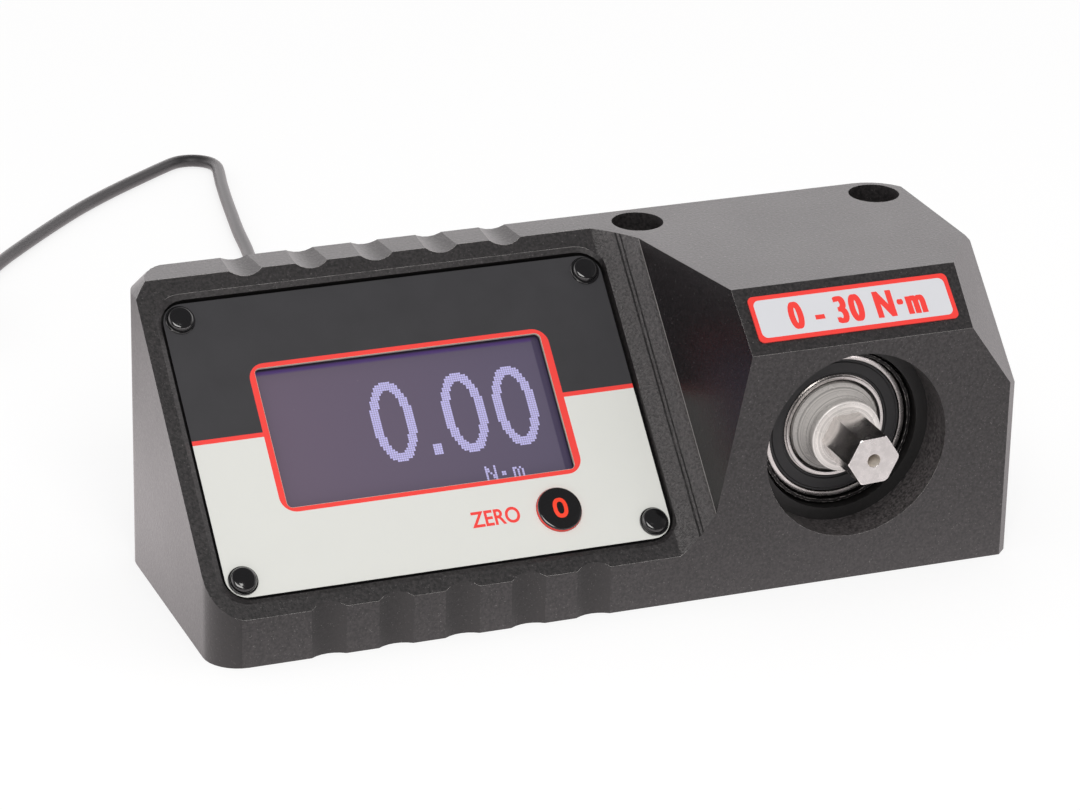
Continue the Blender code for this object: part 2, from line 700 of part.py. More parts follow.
def make_panel():
    outline = rounded_box(PANEL_LEFT, PANEL_FOOT, PANEL_WIDTH, PANEL_RISE, PANEL_CORNER)
    top = -PANEL_SINK
    bm = prism(outline, top - PANEL_THICKNESS, top)
    finish = material("panel_face", (0.55, 0.55, 0.54), 0.35)
    panel = finish_mesh("front_panel", bm, finish, SLOPE_FRAME)
    outline = rounded_box(WINDOW_LEFT, WINDOW_FOOT, WINDOW_WIDTH, WINDOW_RISE, FILLET / 2, 3)
    bm = prism(outline, top - 2 * PANEL_THICKNESS, top + PANEL_THICKNESS)
    cut(panel, finish_mesh("window_cutter", bm, None, SLOPE_FRAME))
    low, high = top - 2 * PANEL_THICKNESS, top + PANEL_THICKNESS
    bm = disc(BUTTON_DIAMETER / 2 + GAP, low, high, 32)
    frame = SLOPE_FRAME @ at((BUTTON_ALONG, BUTTON_UP, 0))
    cut(panel, finish_mesh("button_hole_cutter", bm, None, frame))
    for i, (along, up) in enumerate(rivet_places()):
        bm = disc(RIVET_SHANK_DIAMETER / 2 + GAP, low, high, 12)
        frame = SLOPE_FRAME @ at((along, up, 0))
        cut(panel, finish_mesh(f"panel_rivet_hole_{i + 1}", bm, None, frame))


def make_rivets():
    """Push-in rivets: a skirt, a dome and a shank in the housing's hole."""
    head, shank = RIVET_HEAD_DIAMETER / 2, RIVET_SHANK_DIAMETER / 2
    seat = -PANEL_SINK + GAP
    tip = -POCKET_DEPTH - RIVET_SHANK_LENGTH + GAP
    profile = [(0, tip), (shank * 0.7, tip), (shank, tip + shank), (shank, seat), (head, seat)]
    profile += [(head, seat + RIVET_HEAD_HEIGHT * 0.2)]
    dome = RIVET_DOME_DIAMETER / 2
    rise = RIVET_HEAD_HEIGHT * 0.8
    for radius, height in arc((0, 0), 1.0, 0, 68, 3):
        profile.append((dome * radius, seat + RIVET_HEAD_HEIGHT * 0.2 + rise * height))
    profile.append((0, seat + RIVET_HEAD_HEIGHT))
    for i, (along, up) in enumerate(rivet_places()):
        frame = SLOPE_FRAME @ at((along, up, 0))
        finish_mesh(f"panel_rivet_{i + 1}", turned(profile, 14), black_plastic(), frame)


def board_outline():
    """The display board fits the hatch."""
    left, foot = HATCH_LEFT + BOARD_MARGIN, HATCH_FOOT + BOARD_MARGIN
    return left, foot, HATCH_WIDTH - 2 * BOARD_MARGIN, HATCH_RISE - 2 * BOARD_MARGIN


def display_levels():
    """Heights off the slope of the glass's top, the bezel's top and the board's top."""
    glass = -PANEL_SINK - PANEL_THICKNESS - GAP
    bezel = glass - GLASS_THICKNESS - GAP
    board = bezel - BEZEL_THICKNESS - GAP
    return glass, bezel, board


def display_pillar_places():
    left, foot, width, rise = board_outline()
    inset = DISPLAY_PILLAR_INSET
    return [
        (left + inset, foot + inset),
        (left + width - inset, foot + inset),
        (left + width - inset, foot + rise - inset),
        (left + inset, foot + rise - inset),
    ]


def make_display():
    glass, bezel, board = display_levels()
    edge = GLASS_BORDER
    low = (WINDOW_LEFT - edge, WINDOW_FOOT - edge, glass - GLASS_THICKNESS)
    high = (WINDOW_LEFT + WINDOW_WIDTH + edge, WINDOW_FOOT + WINDOW_RISE + edge, glass)
    finish = material("display_glass", (0.12, 0.10, 0.13), 0.08)
    finish_mesh("display_glass", box(low, high), finish, SLOPE_FRAME, smooth=0)
    edge = GLASS_BORDER + BEZEL_BORDER
    low = (WINDOW_LEFT - edge, WINDOW_FOOT - edge, bezel - BEZEL_THICKNESS)
    high = (WINDOW_LEFT + WINDOW_WIDTH + edge, WINDOW_FOOT + WINDOW_RISE + edge, bezel)
    finish_mesh("display_backlight", box(low, high), black_plastic(), SLOPE_FRAME, smooth=0)

    left, foot, width, rise = board_outline()
    outline = rounded_box(left, foot, width, rise, FILLET / 2, 2)
    bm = prism(outline, board - BOARD_THICKNESS, board)
    made = finish_mesh("display_board", bm, circuit_green(), SLOPE_FRAME, smooth=0)
    hole = DISPLAY_SCREW_DIAMETER / 2 + GAP
    head = DISPLAY_SCREW_HEAD / 2
    shaft = DISPLAY_SCREW_DIAMETER / 2
    top = -PANEL_SINK - PANEL_THICKNESS - GAP
    under = board - BOARD_THICKNESS
    for i, (along, up) in enumerate(display_pillar_places()):
        frame = SLOPE_FRAME @ at((along, up, 0))
        bm = disc(hole, under - FILLET, board + FILLET, 10)
        cut(made, finish_mesh(f"board_hole_{i + 1}", bm, None, frame))
        radius = DISPLAY_PILLAR_DIAMETER / 2
        foot_of_bore = board + GAP + (top - board) * 0.6
        profile = [(hole, board + GAP), (radius, board + GAP), (radius, top), (0, top)]
        profile += [(0, foot_of_bore), (hole, foot_of_bore)]
        bm = turned(profile, 6, ring=True)
        finish_mesh(f"display_pillar_{i + 1}", bm, steel(), frame, smooth=0)
        foot_of_head = under - GAP - shaft
        profile = [(0, foot_of_head), (head, foot_of_head), (head, under - GAP)]
        profile += [(shaft, under - GAP), (shaft, foot_of_bore - GAP), (0, foot_of_bore - GAP)]
        finish_mesh(f"display_screw_{i + 1}", turned(profile, 10), steel(), frame)


def make_button():
    """The zero button: crowned cap, flange behind the panel and stem over its switch."""
    radius = BUTTON_DIAMETER / 2
    rim = -PANEL_SINK + BUTTON_PROUD
    under = -PANEL_SINK - PANEL_THICKNESS - GAP
    flange = radius + BUTTON_FLANGE
    board = display_levels()[2]
    switch_top = board + GAP + SWITCH_HEIGHT
    stem_foot = switch_top + BUTTON_TRAVEL + BUTTON_SPARE
    stem = BUTTON_STEM_DIAMETER / 2
    profile = [(0, stem_foot), (stem, stem_foot), (stem, under - BUTTON_FLANGE_THICKNESS)]
    profile += [(flange, under - BUTTON_FLANGE_THICKNESS), (flange, under), (radius, under)]
    edge = 0.0003
    profile += [(radius, rim - edge), (radius - edge, rim)]
    for share in (0.7, 0.35):
        profile.append((radius * share, rim + BUTTON_CROWN * (1 - share**2)))
    profile.append((0, rim + BUTTON_CROWN))
    frame = SLOPE_FRAME @ at((BUTTON_ALONG, BUTTON_UP, 0))
    finish_mesh("zero_button", turned(profile, 28), black_plastic(), frame)
    half = SWITCH_SIDE / 2
    low, high = (-half, -half, board + GAP), (half, half, switch_top)
    finish_mesh("zero_switch", box(low, high), steel(), frame, smooth=0)


def make_main_board():
    top = main_board_top()
    low = place(MAIN_BOARD_LEFT, MAIN_BOARD_FRONT, top - BOARD_THICKNESS)
    high = place(MAIN_BOARD_LEFT + MAIN_BOARD_LENGTH, MAIN_BOARD_FRONT + MAIN_BOARD_WIDTH, top)
    board = finish_mesh("main_board", box(low, high), circuit_green(), smooth=0)
    shaft, head = BOARD_SCREW_DIAMETER / 2, BOARD_SCREW_HEAD / 2
    for i, (along, back) in enumerate(main_board_corners()):
        bm = disc(shaft + GAP, FLOOR_THICKNESS, top + FILLET, 12)
        cut(board, finish_mesh(f"main_board_hole_{i + 1}", bm, None, at(place(along, back, 0))))
        seat = top + GAP
        profile = [(0, seat - BOARD_SCREW_LENGTH), (shaft, seat - BOARD_SCREW_LENGTH)]
        profile += [(shaft, seat), (head, seat), (head, seat + shaft), (0, seat + shaft)]
        frame = at(place(along, back, 0))
        finish_mesh(f"board_screw_{i + 1}", turned(profile, 12), steel(), frame)


def make_socket():
    """The lead's socket: an open shell that stands on the main board, its mouth at the rear."""
    mouth = socket_place()
    outline = rounded_box(
        -SOCKET_WIDTH / 2, -SOCKET_HEIGHT / 2, SOCKET_WIDTH, SOCKET_HEIGHT, SOCKET_HEIGHT / 3, 3
    )
    frame = at(mouth) @ Matrix.Rotation(math.pi / 2, 4, "X")
    socket = finish_mesh("lead_socket", prism(outline, GAP, SOCKET_DEPTH), steel(), frame)
    wide, tall = SOCKET_WIDTH - 2 * SOCKET_WALL, SOCKET_HEIGHT - 2 * SOCKET_WALL
    outline = rounded_box(-wide / 2, -tall / 2, wide, tall, tall / 3, 3)
    bm = prism(outline, -FILLET, PLUG_TONGUE[1] + 2 * GAP)
    cut(socket, finish_mesh("socket_mouth_cutter", bm, None, frame))


def make_sleeve():
    """The black carrier sleeve that seats the bearing and reaches back to the flange."""
    outside = SEAT_BORE_DIAMETER / 2 - GAP
    seat = BEARING_OUTSIDE / 2 + GAP
    bore = SLEEVE_BORE_DIAMETER / 2
    shoulder = BEARING_FRONT + BEARING_WIDTH + GAP
    end = flange_front() - GAP
    lip = RACE_CHAMFER
    profile = [(outside - lip, SLEEVE_FRONT), (outside, SLEEVE_FRONT + lip), (outside, end)]
    profile += [(bore, end), (bore, shoulder), (seat, shoulder), (seat, SLEEVE_FRONT)]
    sleeve = drive_piece("bearing_sleeve", profile, black_steel(), 36, ring=True)
    bm = disc(PASSAGE_DIAMETER / 2, 0, AXIS_ALONG - HOLLOW_RIGHT, 16)
    frame = at(passage_place()) @ Matrix.Rotation(math.pi / 2, 4, "Y")
    cut(sleeve, finish_mesh("sleeve_passage_cutter", bm, None, frame))


def make_bearing():
    front, back = BEARING_FRONT, BEARING_FRONT + BEARING_WIDTH
    outside, inside = BEARING_OUTSIDE / 2, OUTER_RACE_INSIDE / 2
    edge = RACE_CHAMFER
    middle = (front + back) / 2
    half_groove = BALL_DIAMETER / 2

    def race(plain, grooved, towards):
        """Profile of a race: its plain face chamfered, its other face with the ball groove."""
        points = [(plain, front + edge), (plain, back - edge), (plain + towards * edge, back)]
        points += [(grooved, back), (grooved, middle + half_groove)]
        deep = grooved - towards * RACE_GROOVE_DEPTH
        points += [(deep, middle + half_groove / 2), (deep, middle - half_groove / 2)]
        points += [(grooved, middle - half_groove), (grooved, front), (plain + towards * edge, front)]
        return points

    drive_piece("bearing_outer_race", race(outside, inside, -1), steel(), 32, ring=True)
    bore, rim = BEARING_BORE / 2, INNER_RACE_OUTSIDE / 2
    drive_piece("bearing_inner_race", race(bore, rim, 1), steel(), 32, ring=True)

    low, high = rim + GAP, inside - GAP
    rubber = material("seal_rubber", (0.012, 0.012, 0.013), 0.6)
    for name, near in (("front", front + SEAL_SINK), ("rear", back - SEAL_SINK - SEAL_THICKNESS)):
        far = near + SEAL_THICKNESS
        profile = [(low, near), (low, far), (high, far), (high, near)]
        drive_piece(f"bearing_seal_{name}", profile, rubber, 32, ring=True)

    pitch = (rim + inside) / 2
    low, high = pitch - CAGE_WALL / 2, pitch + CAGE_WALL / 2
    near, far = middle - CAGE_WIDTH / 2, middle + CAGE_WIDTH / 2
    profile = [(low, near), (low, far), (high, far), (high, near)]
    cage = drive_piece("bearing_cage", profile, steel(), 2 * BALL_COUNT, ring=True)
    balls = bmesh.new()
    for x, y in circle(pitch, BALL_COUNT):
        spot = at((x, y, middle))
        bmesh.ops.create_uvsphere(
            balls, u_segments=6, v_segments=5, radius=BALL_DIAMETER / 2, matrix=spot
        )
    join(cage, finish_mesh("bearing_balls", balls, None, DRIVE_FRAME))


def make_spindle():
    """The drive spindle: hexagon, collar, flare, journal, shoulder and square tang."""
    collar, neck, flare = COLLAR_DIAMETER / 2, NECK_DIAMETER / 2, FLARE_DIAMETER / 2
    journal = BEARING_BORE / 2 - GAP
    shoulder = SHOULDER_DIAMETER / 2
    behind = BEARING_FRONT + BEARING_WIDTH + GAP
    edge = RACE_CHAMFER / 2
    collar_back = COLLAR_FRONT + COLLAR_LENGTH
    profile = [(0, COLLAR_FRONT), (collar - edge, COLLAR_FRONT), (collar, COLLAR_FRONT + edge)]
    profile += [(collar, collar_back), (neck, collar_back + edge)]
    steps = 6
    run = FLARE_FRONT - collar_back - edge
    for i in range(1, steps + 1):
        share = i / steps
        radius = neck + (flare - neck) * (0.35 * share + 0.65 * share**2)
        profile.append((radius, collar_back + edge + run * share))
    profile += [(journal, FLARE_FRONT + journal - flare), (journal, behind), (shoulder, behind)]
    profile += [(shoulder, behind + SHOULDER_LENGTH), (0, behind + SHOULDER_LENGTH)]
    spindle = drive_piece("drive_spindle", profile, steel(), 40)

    corner = HEX_ACROSS_FLATS / math.sqrt(3)
    tip, root = -HEX_REACH, COLLAR_FRONT + COLLAR_LENGTH
    hexagon = circle(corner, 6, turn=-HEX_TURN)
    hexagonal = prism(hexagon, tip, root)
    join(spindle, finish_mesh("drive_hexagon", hexagonal, None, DRIVE_FRAME, smooth=0))
    # A shallow cone takes the corners off the tip
    wide = corner + HEX_TIP_CHAMFER
    profile = [(corner - HEX_TIP_CHAMFER, tip), (wide, tip + 2 * HEX_TIP_CHAMFER)]
    profile += [(wide, tip - HEX_TIP_CHAMFER), (corner - HEX_TIP_CHAMFER, tip - HEX_TIP_CHAMFER)]
    bm = turned(profile, 36, ring=True)
    cut(spindle, finish_mesh("tip_cutter", bm, None, DRIVE_FRAME))
    hole = TIP_HOLE_DIAMETER / 2
    bottom = tip + TIP_HOLE_DEPTH
    profile = [(0, tip - hole), (hole, tip - hole), (hole, bottom), (0, bottom + hole / 2)]
    cut(spindle, finish_mesh("tip_hole_cutter", turned(profile, 20), None, DRIVE_FRAME))

    half = TANG_SIDE / 2
    near = behind + SHOULDER_LENGTH
    bm = box((-half, -half, near - FILLET / 2), (half, half, near + TANG_LENGTH))
    join(spindle, finish_mesh("drive_tang", bm, None, DRIVE_FRAME, smooth=0))


def coupling_front():
    return BEARING_FRONT + BEARING_WIDTH + GAP + SHOULDER_LENGTH + GAP


def coupling_end():
    return coupling_front() + COUPLING_LENGTH


def flange_front():
    return SEAT_BORE_END - GAP - FLANGE_LENGTH


def make_transducer():
    """The torsion shaft: a square-socketed head, the gauged waist and a bolted flange."""
    head, waist = COUPLING_DIAMETER / 2, TORSION_DIAMETER / 2
    flange = SEAT_BORE_DIAMETER / 2 - GAP
    near, head_end, plate = coupling_front(), coupling_end(), flange_front()
    end = SEAT_BORE_END - GAP
    # A short waist takes smaller fillets
    fillet = min(FILLET, (plate - head_end) / 4)
    profile = [(0, near), (head, near), (head, head_end - FILLET)]
    profile += [(head - FILLET, head_end), (waist + fillet, head_end)]
    profile += [(waist, head_end + fillet), (waist, plate - fillet), (waist + fillet, plate)]
    profile += [(flange, plate), (flange, end), (0, end)]
    shaft = drive_piece("transducer", profile, steel(), 28)
    half = TANG_SIDE / 2 + GAP
    bm = box((-half, -half, near - FILLET), (half, half, near + TANG_LENGTH + GAP))
    cut(shaft, finish_mesh("square_socket_cutter", bm, None, DRIVE_FRAME, smooth=0))
    hole = FLANGE_SCREW_DIAMETER / 2 + GAP
    bottom = end - FLANGE_SCREW_BITE - GAP
    for i, (x, z) in enumerate(flange_screw_places()):
        bm = disc(hole, bottom, end + FILLET, 16)
        cut(shaft, finish_mesh(f"flange_hole_{i + 1}", bm, None, DRIVE_FRAME @ at((x, z, 0))))


def make_flange_screws():
    """Cap screws in the rear wall, each with its hexagonal key hole."""
    shaft, head = FLANGE_SCREW_DIAMETER / 2, FLANGE_SCREW_HEAD_DIAMETER / 2
    seat = BODY_DEPTH - FLANGE_SCREW_SINK + GAP
    tip = SEAT_BORE_END - FLANGE_SCREW_BITE
    top = seat + FLANGE_SCREW_HEAD_HEIGHT
    edge = RACE_CHAMFER
    profile = [(0, tip), (shaft - edge, tip), (shaft, tip + edge), (shaft, seat), (head, seat)]
    profile += [(head, top - edge), (head - edge, top), (0, top)]
    key = circle(SCREW_KEY / math.sqrt(3), 6)
    for i, (x, z) in enumerate(flange_screw_places()):
        frame = DRIVE_FRAME @ at((x, z, 0))
        screw = finish_mesh(f"transducer_screw_{i + 1}", turned(profile, 16), black_steel(), frame)
        bm = prism(key, top - FLANGE_SCREW_HEAD_HEIGHT / 2, top + edge)
        cut(screw, finish_mesh(f"key_cutter_{i + 1}", bm, None, frame, smooth=0))


def make_label():
    """The range label lies on the block's sloping front edge."""
    angle = math.atan2(BLOCK_CHAMFER_DROP, BLOCK_CHAMFER_RUN)
    foot = place(0, 0, BODY_HEIGHT - BLOCK_CHAMFER_DROP)
    frame = at(foot) @ Matrix.Rotation(angle, 4, "X")
    outline = rounded_box(LABEL_LEFT, LABEL_FOOT, LABEL_LENGTH, LABEL_WIDTH, LABEL_CORNER, 3)
    bm = prism(outline, GAP, GAP + LABEL_THICKNESS)
    finish_mesh("range_label", bm, material("label_face", (0.6, 0.6, 0.6), 0.4), frame)


def smooth_route(points, spacing):
    """Points at about the given spacing on a smooth curve through the route's points."""
    spots = [Vector(point) for point in points]
    spots = [2 * spots[0] - spots[1]] + spots + [2 * spots[-1] - spots[-2]]
    made = []
    for i in range(1, len(spots) - 2):
        before, start, end, after = spots[i - 1 : i + 3]
        steps = max(1, round((end - start).length / spacing))
        for k in range(steps):
            t = k / steps
            made.append(
                0.5
                * (
                    2 * start
                    + (end - before) * t
                    + (2 * before - 5 * start + 4 * end - after) * t**2
                    + (3 * start - before - 3 * end + after) * t**3
                )
            )
    made.append(spots[-2])
    return made


def tube(name, points, diameter, finish, sides=2):
    curve = bpy.data.curves.new(name, "CURVE")
    curve.dimensions = "3D"
    curve.bevel_depth = diameter / 2
    curve.bevel_resolution = sides
    curve.use_fill_caps = True
    spline = curve.splines.new("POLY")
    spline.points.add(len(points) - 1)
    for spot, point in zip(spline.points, points):
        spot.co = (*point, 1)
    curve.materials.append(finish)
    made = bpy.data.objects.new(name, curve)
    collection("tester").objects.link(made)
    return made


def make_gauge_lead():
    """The transducer's lead, through the passage and down to its socket on the main board."""
    start = passage_place()
    board = main_board_top()
    finish = material("lead_sheath", (0.02, 0.02, 0.022), 0.5)
    end_x = MAIN_BOARD_LEFT + MAIN_BOARD_LENGTH - 2 * MAIN_BOARD_INSET
    side = GAUGE_SOCKET_SIDE
    centre = Vector((place(end_x, 0, 0).x, start.y, board + GAP))
    low = centre - Vector((side / 2, side / 2, 0))
    high = centre + Vector((side / 2, side / 2, side))
    finish_mesh("gauge_socket", box(low, high), black_plastic(), smooth=0)
    top = centre.z + side + GAP
    waist = TORSION_DIAMETER / 2 + GAP
    reach = AXIS_ALONG - waist - HOLLOW_RIGHT
    height = start.z - top
    across = centre.x - start.x
    points = [
        start + Vector((reach, 0, 0)),
        start + Vector((reach / 2, 0, 0)),
        start,
        start + Vector((across * 0.5, 0, -height * 0.12)),
        start + Vector((across * 0.92, 0, -height * 0.45)),
        Vector((centre.x, centre.y, top + height * 0.2)),
        Vector((centre.x, centre.y, top)),
    ]
    tube("gauge_lead", smooth_route(points, 2 * GAUGE_LEAD_DIAMETER), GAUGE_LEAD_DIAMETER, finish)


def plug_body(name, body, shell, finish):
    """A moulded plug lying along local Y, its shell pointing to -Y; the origin is its face."""
    wide, long, tall = body
    outline = rounded_box(-wide / 2, -tall / 2, wide, tall, tall / 3, 4)
    frame = Matrix.Rotation(math.pi / 2, 4, "X")
    made = finish_mesh(name, prism(outline, -long, 0), finish, frame)
    wide, long, tall = shell
    outline = rounded_box(-wide / 2, -tall / 2, wide, tall, tall / 3, 3)
    metal = finish_mesh(name + "_shell", prism(outline, -FILLET / 2, long), None, frame)
    metal.parent = made
    metal.matrix_parent_inverse = frame.inverted()
    join(made, metal)
    return made


def relief(name, start, direction, finish):
    """A tapered strain relief with three ribs."""
    profile = [(0, 0), (RELIEF_ROOT / 2, 0)]
    ribs = 3
    for i in range(ribs):
        for share, deep in ((0.25, 0), (0.35, 1), (0.75, 1), (0.85, 0)):
            t = (i + share) / ribs
            radius = (RELIEF_ROOT + (RELIEF_TIP - RELIEF_ROOT) * t) / 2 - deep * GAP
            profile.append((radius, RELIEF_LENGTH * t))
    profile += [(RELIEF_TIP / 2, RELIEF_LENGTH), (0, RELIEF_LENGTH)]
    frame = Vector(direction).to_track_quat("Z", "Y").to_matrix().to_4x4()
    frame.translation = start
    return finish_mesh(name, turned(profile, 10), finish, frame)


def make_lead():
    """The lead: plug, relief, the stretch on the bench, the coil and the plug at its far end."""
    finish = material("lead_sheath", (0.02, 0.02, 0.022), 0.5)
    mouth = socket_place()
    plug_face = mouth + Vector((0, GAP, 0))
    plug = plug_body("lead_plug", PLUG_BODY, PLUG_TONGUE, black_plastic())
    plug.location = plug_face
    relief_start = plug_face + Vector((0, PLUG_BODY[1] + GAP, 0))
    relief("lead_relief", relief_start, (0, 1, 0), black_plastic())
    exit_point = relief_start + Vector((0, RELIEF_LENGTH + GAP, 0))
    lie = LEAD_DIAMETER / 2 + GAP / 3
    route = [
        (exit_point.x, exit_point.y, exit_point.z),
        (-0.0357, 0.0680, 0.0120),
        (-0.0353, 0.0760, 0.0085),
        (-0.0345, 0.0850, 0.0042),
        (-0.0332, 0.0945, 0.0019),
        (-0.0315, 0.1040, lie),
        (-0.0280, 0.1180, lie),
        (-0.0238, 0.1330, lie),
        (-0.0196, 0.1490, lie),
        (-0.0155, 0.1660, lie),
        (-0.0118, 0.1835, lie),
        (-0.0096, 0.1982, lie),
        (-0.0076, 0.2095, lie),
        (-0.0055, 0.2210, lie),
        (-0.0032, 0.2325, lie),
        (-0.0017, 0.2390, lie),
        (-0.0006, 0.2444, lie),
        (-0.0009, 0.2478, lie),
        (-0.0024, 0.2502, lie),
        (-0.0048, 0.2517, lie),
        (-0.0076, 0.2521, lie),
        (-0.0104, 0.2513, lie),
        (-0.0143, 0.2487, lie),
        (-0.0196, 0.2448, lie),
        (-0.0305, 0.2365, lie),
        (-0.0416, 0.2271, lie),
        (-0.0529, 0.2160, lie),
        (-0.0644, 0.2038, lie),
        (-0.0702, 0.1972, lie),
        (-0.0757, 0.1902, lie),
        (-0.0802, 0.1833, lie),
        (-0.0834, 0.1764, lie),
        (-0.0857, 0.1703, lie),
        (-0.0871, 0.1653, lie),
    ]
    tube("lead_cord", smooth_route(route, 2.5 * LEAD_DIAMETER), LEAD_DIAMETER, finish)

    middle, half = COIL_MIDDLE_RADIUS, COIL_WIDTH / 2
    low, high = COIL_LIFT, COIL_LIFT + COIL_HEIGHT
    soft = COIL_HEIGHT / 4
    profile = [(middle - half, low + soft), (middle - half, high - soft), (middle - half + soft, high)]
    profile += [(middle + half - soft, high), (middle + half, high - soft)]
    profile += [(middle + half, low + soft), (middle + half - soft, low), (middle - half + soft, low)]
    frame = at((*COIL_CENTRE, 0))
    finish_mesh("lead_coil", turned(profile, 32, ring=True), finish, frame)

    wide, tall = COIL_WIDTH + 2 * GAP, COIL_HEIGHT + 2 * GAP
    thick = TIE_THICKNESS
    outline = rounded_box(-wide / 2 - thick, -tall / 2 - thick, wide + 2 * thick, tall + 2 * thick, soft, 3)
    # The tie passes round the coil's near side
    frame = at((COIL_CENTRE[0], COIL_CENTRE[1] - middle, COIL_LIFT + COIL_HEIGHT / 2))
    frame = frame @ Matrix.Rotation(math.pi / 2, 4, "Y") @ Matrix.Rotation(math.pi / 2, 4, "Z")
    tie_finish = black_plastic()
    tie = finish_mesh("lead_tie", prism(outline, -TIE_WIDTH / 2, TIE_WIDTH / 2), tie_finish, frame)
    outline = rounded_box(-wide / 2, -tall / 2, wide, tall, soft / 2, 3)
    cut(tie, finish_mesh("tie_cutter", prism(outline, -TIE_WIDTH, TIE_WIDTH), None, frame))

    # The tail lies against the coil's lower edge, which is cut at 45 degrees
    clear = (LEAD_DIAMETER / 2 + GAP) * math.sqrt(2)
    west = COIL_CENTRE[0] - (middle + half - soft + lie - COIL_LIFT + clear)
    tail = [
        (west, COIL_CENTRE[1] - 0.0040, lie),
        (west, COIL_CENTRE[1] + 0.0040, lie),
        (west - 0.0010, COIL_CENTRE[1] + 0.0140, HOST_PLUG_BODY[2] / 2 * 0.75),
        (west - 0.0012, COIL_CENTRE[1] + 0.0200, HOST_PLUG_BODY[2] / 2),
    ]
    tube("lead_tail", smooth_route(tail, 2 * LEAD_DIAMETER), LEAD_DIAMETER, finish)
    start = Vector(tail[-1]) + Vector((0, GAP + RELIEF_LENGTH, 0))
    relief("host_relief", start, (0, -1, 0), black_plastic())
    host = plug_body("host_plug", HOST_PLUG_BODY, HOST_PLUG_SHELL, black_plastic())
    host.rotation_euler.z = math.pi
    host.location = start + Vector((0, GAP + HOST_PLUG_BODY[1], 0))


def main():
    for obj in list(bpy.data.objects):
        bpy.data.objects.remove(obj, do_unlink=True)
    make_housing()
    make_panel()
    make_rivets()
    make_display()
    make_button()
    make_main_board()
    make_socket()
    make_sleeve()
    make_bearing()
    make_spindle()
    make_transducer()
    make_flange_screws()
    make_label()
    make_gauge_lead()
    make_lead()


main()
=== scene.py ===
"""The torque tester's looks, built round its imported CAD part. Metres, +Z up."""

import json
import math

import bmesh
import bpy
from mathutils import Matrix, Vector

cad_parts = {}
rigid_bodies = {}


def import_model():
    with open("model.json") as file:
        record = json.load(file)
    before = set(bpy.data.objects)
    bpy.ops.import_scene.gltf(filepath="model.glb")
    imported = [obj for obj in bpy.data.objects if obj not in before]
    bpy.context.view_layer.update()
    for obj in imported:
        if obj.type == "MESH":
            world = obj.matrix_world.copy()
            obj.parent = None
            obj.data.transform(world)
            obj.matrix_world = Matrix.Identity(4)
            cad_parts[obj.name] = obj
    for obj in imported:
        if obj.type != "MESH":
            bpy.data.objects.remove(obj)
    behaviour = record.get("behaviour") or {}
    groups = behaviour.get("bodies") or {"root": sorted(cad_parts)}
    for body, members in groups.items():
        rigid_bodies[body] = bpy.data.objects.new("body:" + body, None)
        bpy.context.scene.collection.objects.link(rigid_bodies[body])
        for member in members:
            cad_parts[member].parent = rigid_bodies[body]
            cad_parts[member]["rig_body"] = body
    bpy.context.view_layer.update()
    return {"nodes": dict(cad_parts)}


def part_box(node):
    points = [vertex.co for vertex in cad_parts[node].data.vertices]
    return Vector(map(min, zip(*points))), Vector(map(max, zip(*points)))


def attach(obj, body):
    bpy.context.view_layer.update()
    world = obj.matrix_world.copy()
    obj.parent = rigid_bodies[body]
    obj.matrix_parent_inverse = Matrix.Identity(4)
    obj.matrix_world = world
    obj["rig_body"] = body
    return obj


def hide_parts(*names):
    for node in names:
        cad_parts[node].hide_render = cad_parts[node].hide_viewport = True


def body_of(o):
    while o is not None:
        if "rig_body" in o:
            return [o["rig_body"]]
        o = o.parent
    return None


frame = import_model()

# Camera, matched to the photo
CAMERA_PLACE = (-0.31914, -0.77923, 0.38972)
CAMERA_YAW = math.radians(-21.812)
CAMERA_PITCH = math.radians(-22.943)
CAMERA_ROLL = math.radians(-1.273)
CAMERA_LENS = 146.714

# Panel, measured along the block from its left face and up the slope from its foot
PANEL_LOW = (0.0047, 0.0050)
PANEL_SIZE = (0.0956, 0.06453)
PANEL_HIGH = (PANEL_LOW[0] + PANEL_SIZE[0], PANEL_LOW[1] + PANEL_SIZE[1])
PANEL_CORNER = 0.0044
PANEL_MARGIN = 0.0007
DIVIDER = 0.03895
DIVIDER_WIDTH = 0.00099
DIVIDER_LOW, DIVIDER_HIGH = DIVIDER - DIVIDER_WIDTH / 2, DIVIDER + DIVIDER_WIDTH / 2
FRAME_LOW = (0.0197, 0.02155)
FRAME_HIGH = (0.08475, 0.05438)
FRAME_CORNER = 0.0034
WINDOW_LOW = (0.0210, 0.0225)
WINDOW_HIGH = (0.0832, 0.0534)
WINDOW_CORNER = 0.0012
WINDOW_WALL = 0.00007
WINDOW_DEPTH = 0.0006
ZERO_LOW = (0.05815, 0.0127)
ZERO_HIGH = (0.0687, 0.0162)
BUTTON = (0.0772, 0.0141)
BUTTON_RADIUS = 0.0048
BUTTON_HOLE = 0.00488
RIVET_INSET = 0.0036

# Heights over the panel's face: under the ink, its top, the lettering on it, and the glass behind the window
INK_FOOT = 0.00001
INK = 0.00004
INK_ON_INK = 0.00006
GLASS = -0.0018

# Block, in the part's own frame: the drive block's left side, heights on the front, the drive's opening, the
# width of the broken edges, and a cutter's marks as places along the block and widths
BLOCK_LEFT = 0.0122
APRON_HEIGHT = 0.0105
HOLLOW_TOP = 0.0150
CHAMFER_FOOT = 0.0528
OPENING_RADIUS = 0.02025
EDGE_WIDTH = 0.00018
RAMP_MARKS = ((0.0164, 0.00011), (0.01708, 0.00009))

# The block's finishes, by their index. It has one coating; the last four tone it where the lamps don't give
# the light and dark that the photograph has
COAT, PALE_EDGE, BORE, RAMP, CHEEK, OPENING, HOLLOW = range(7)

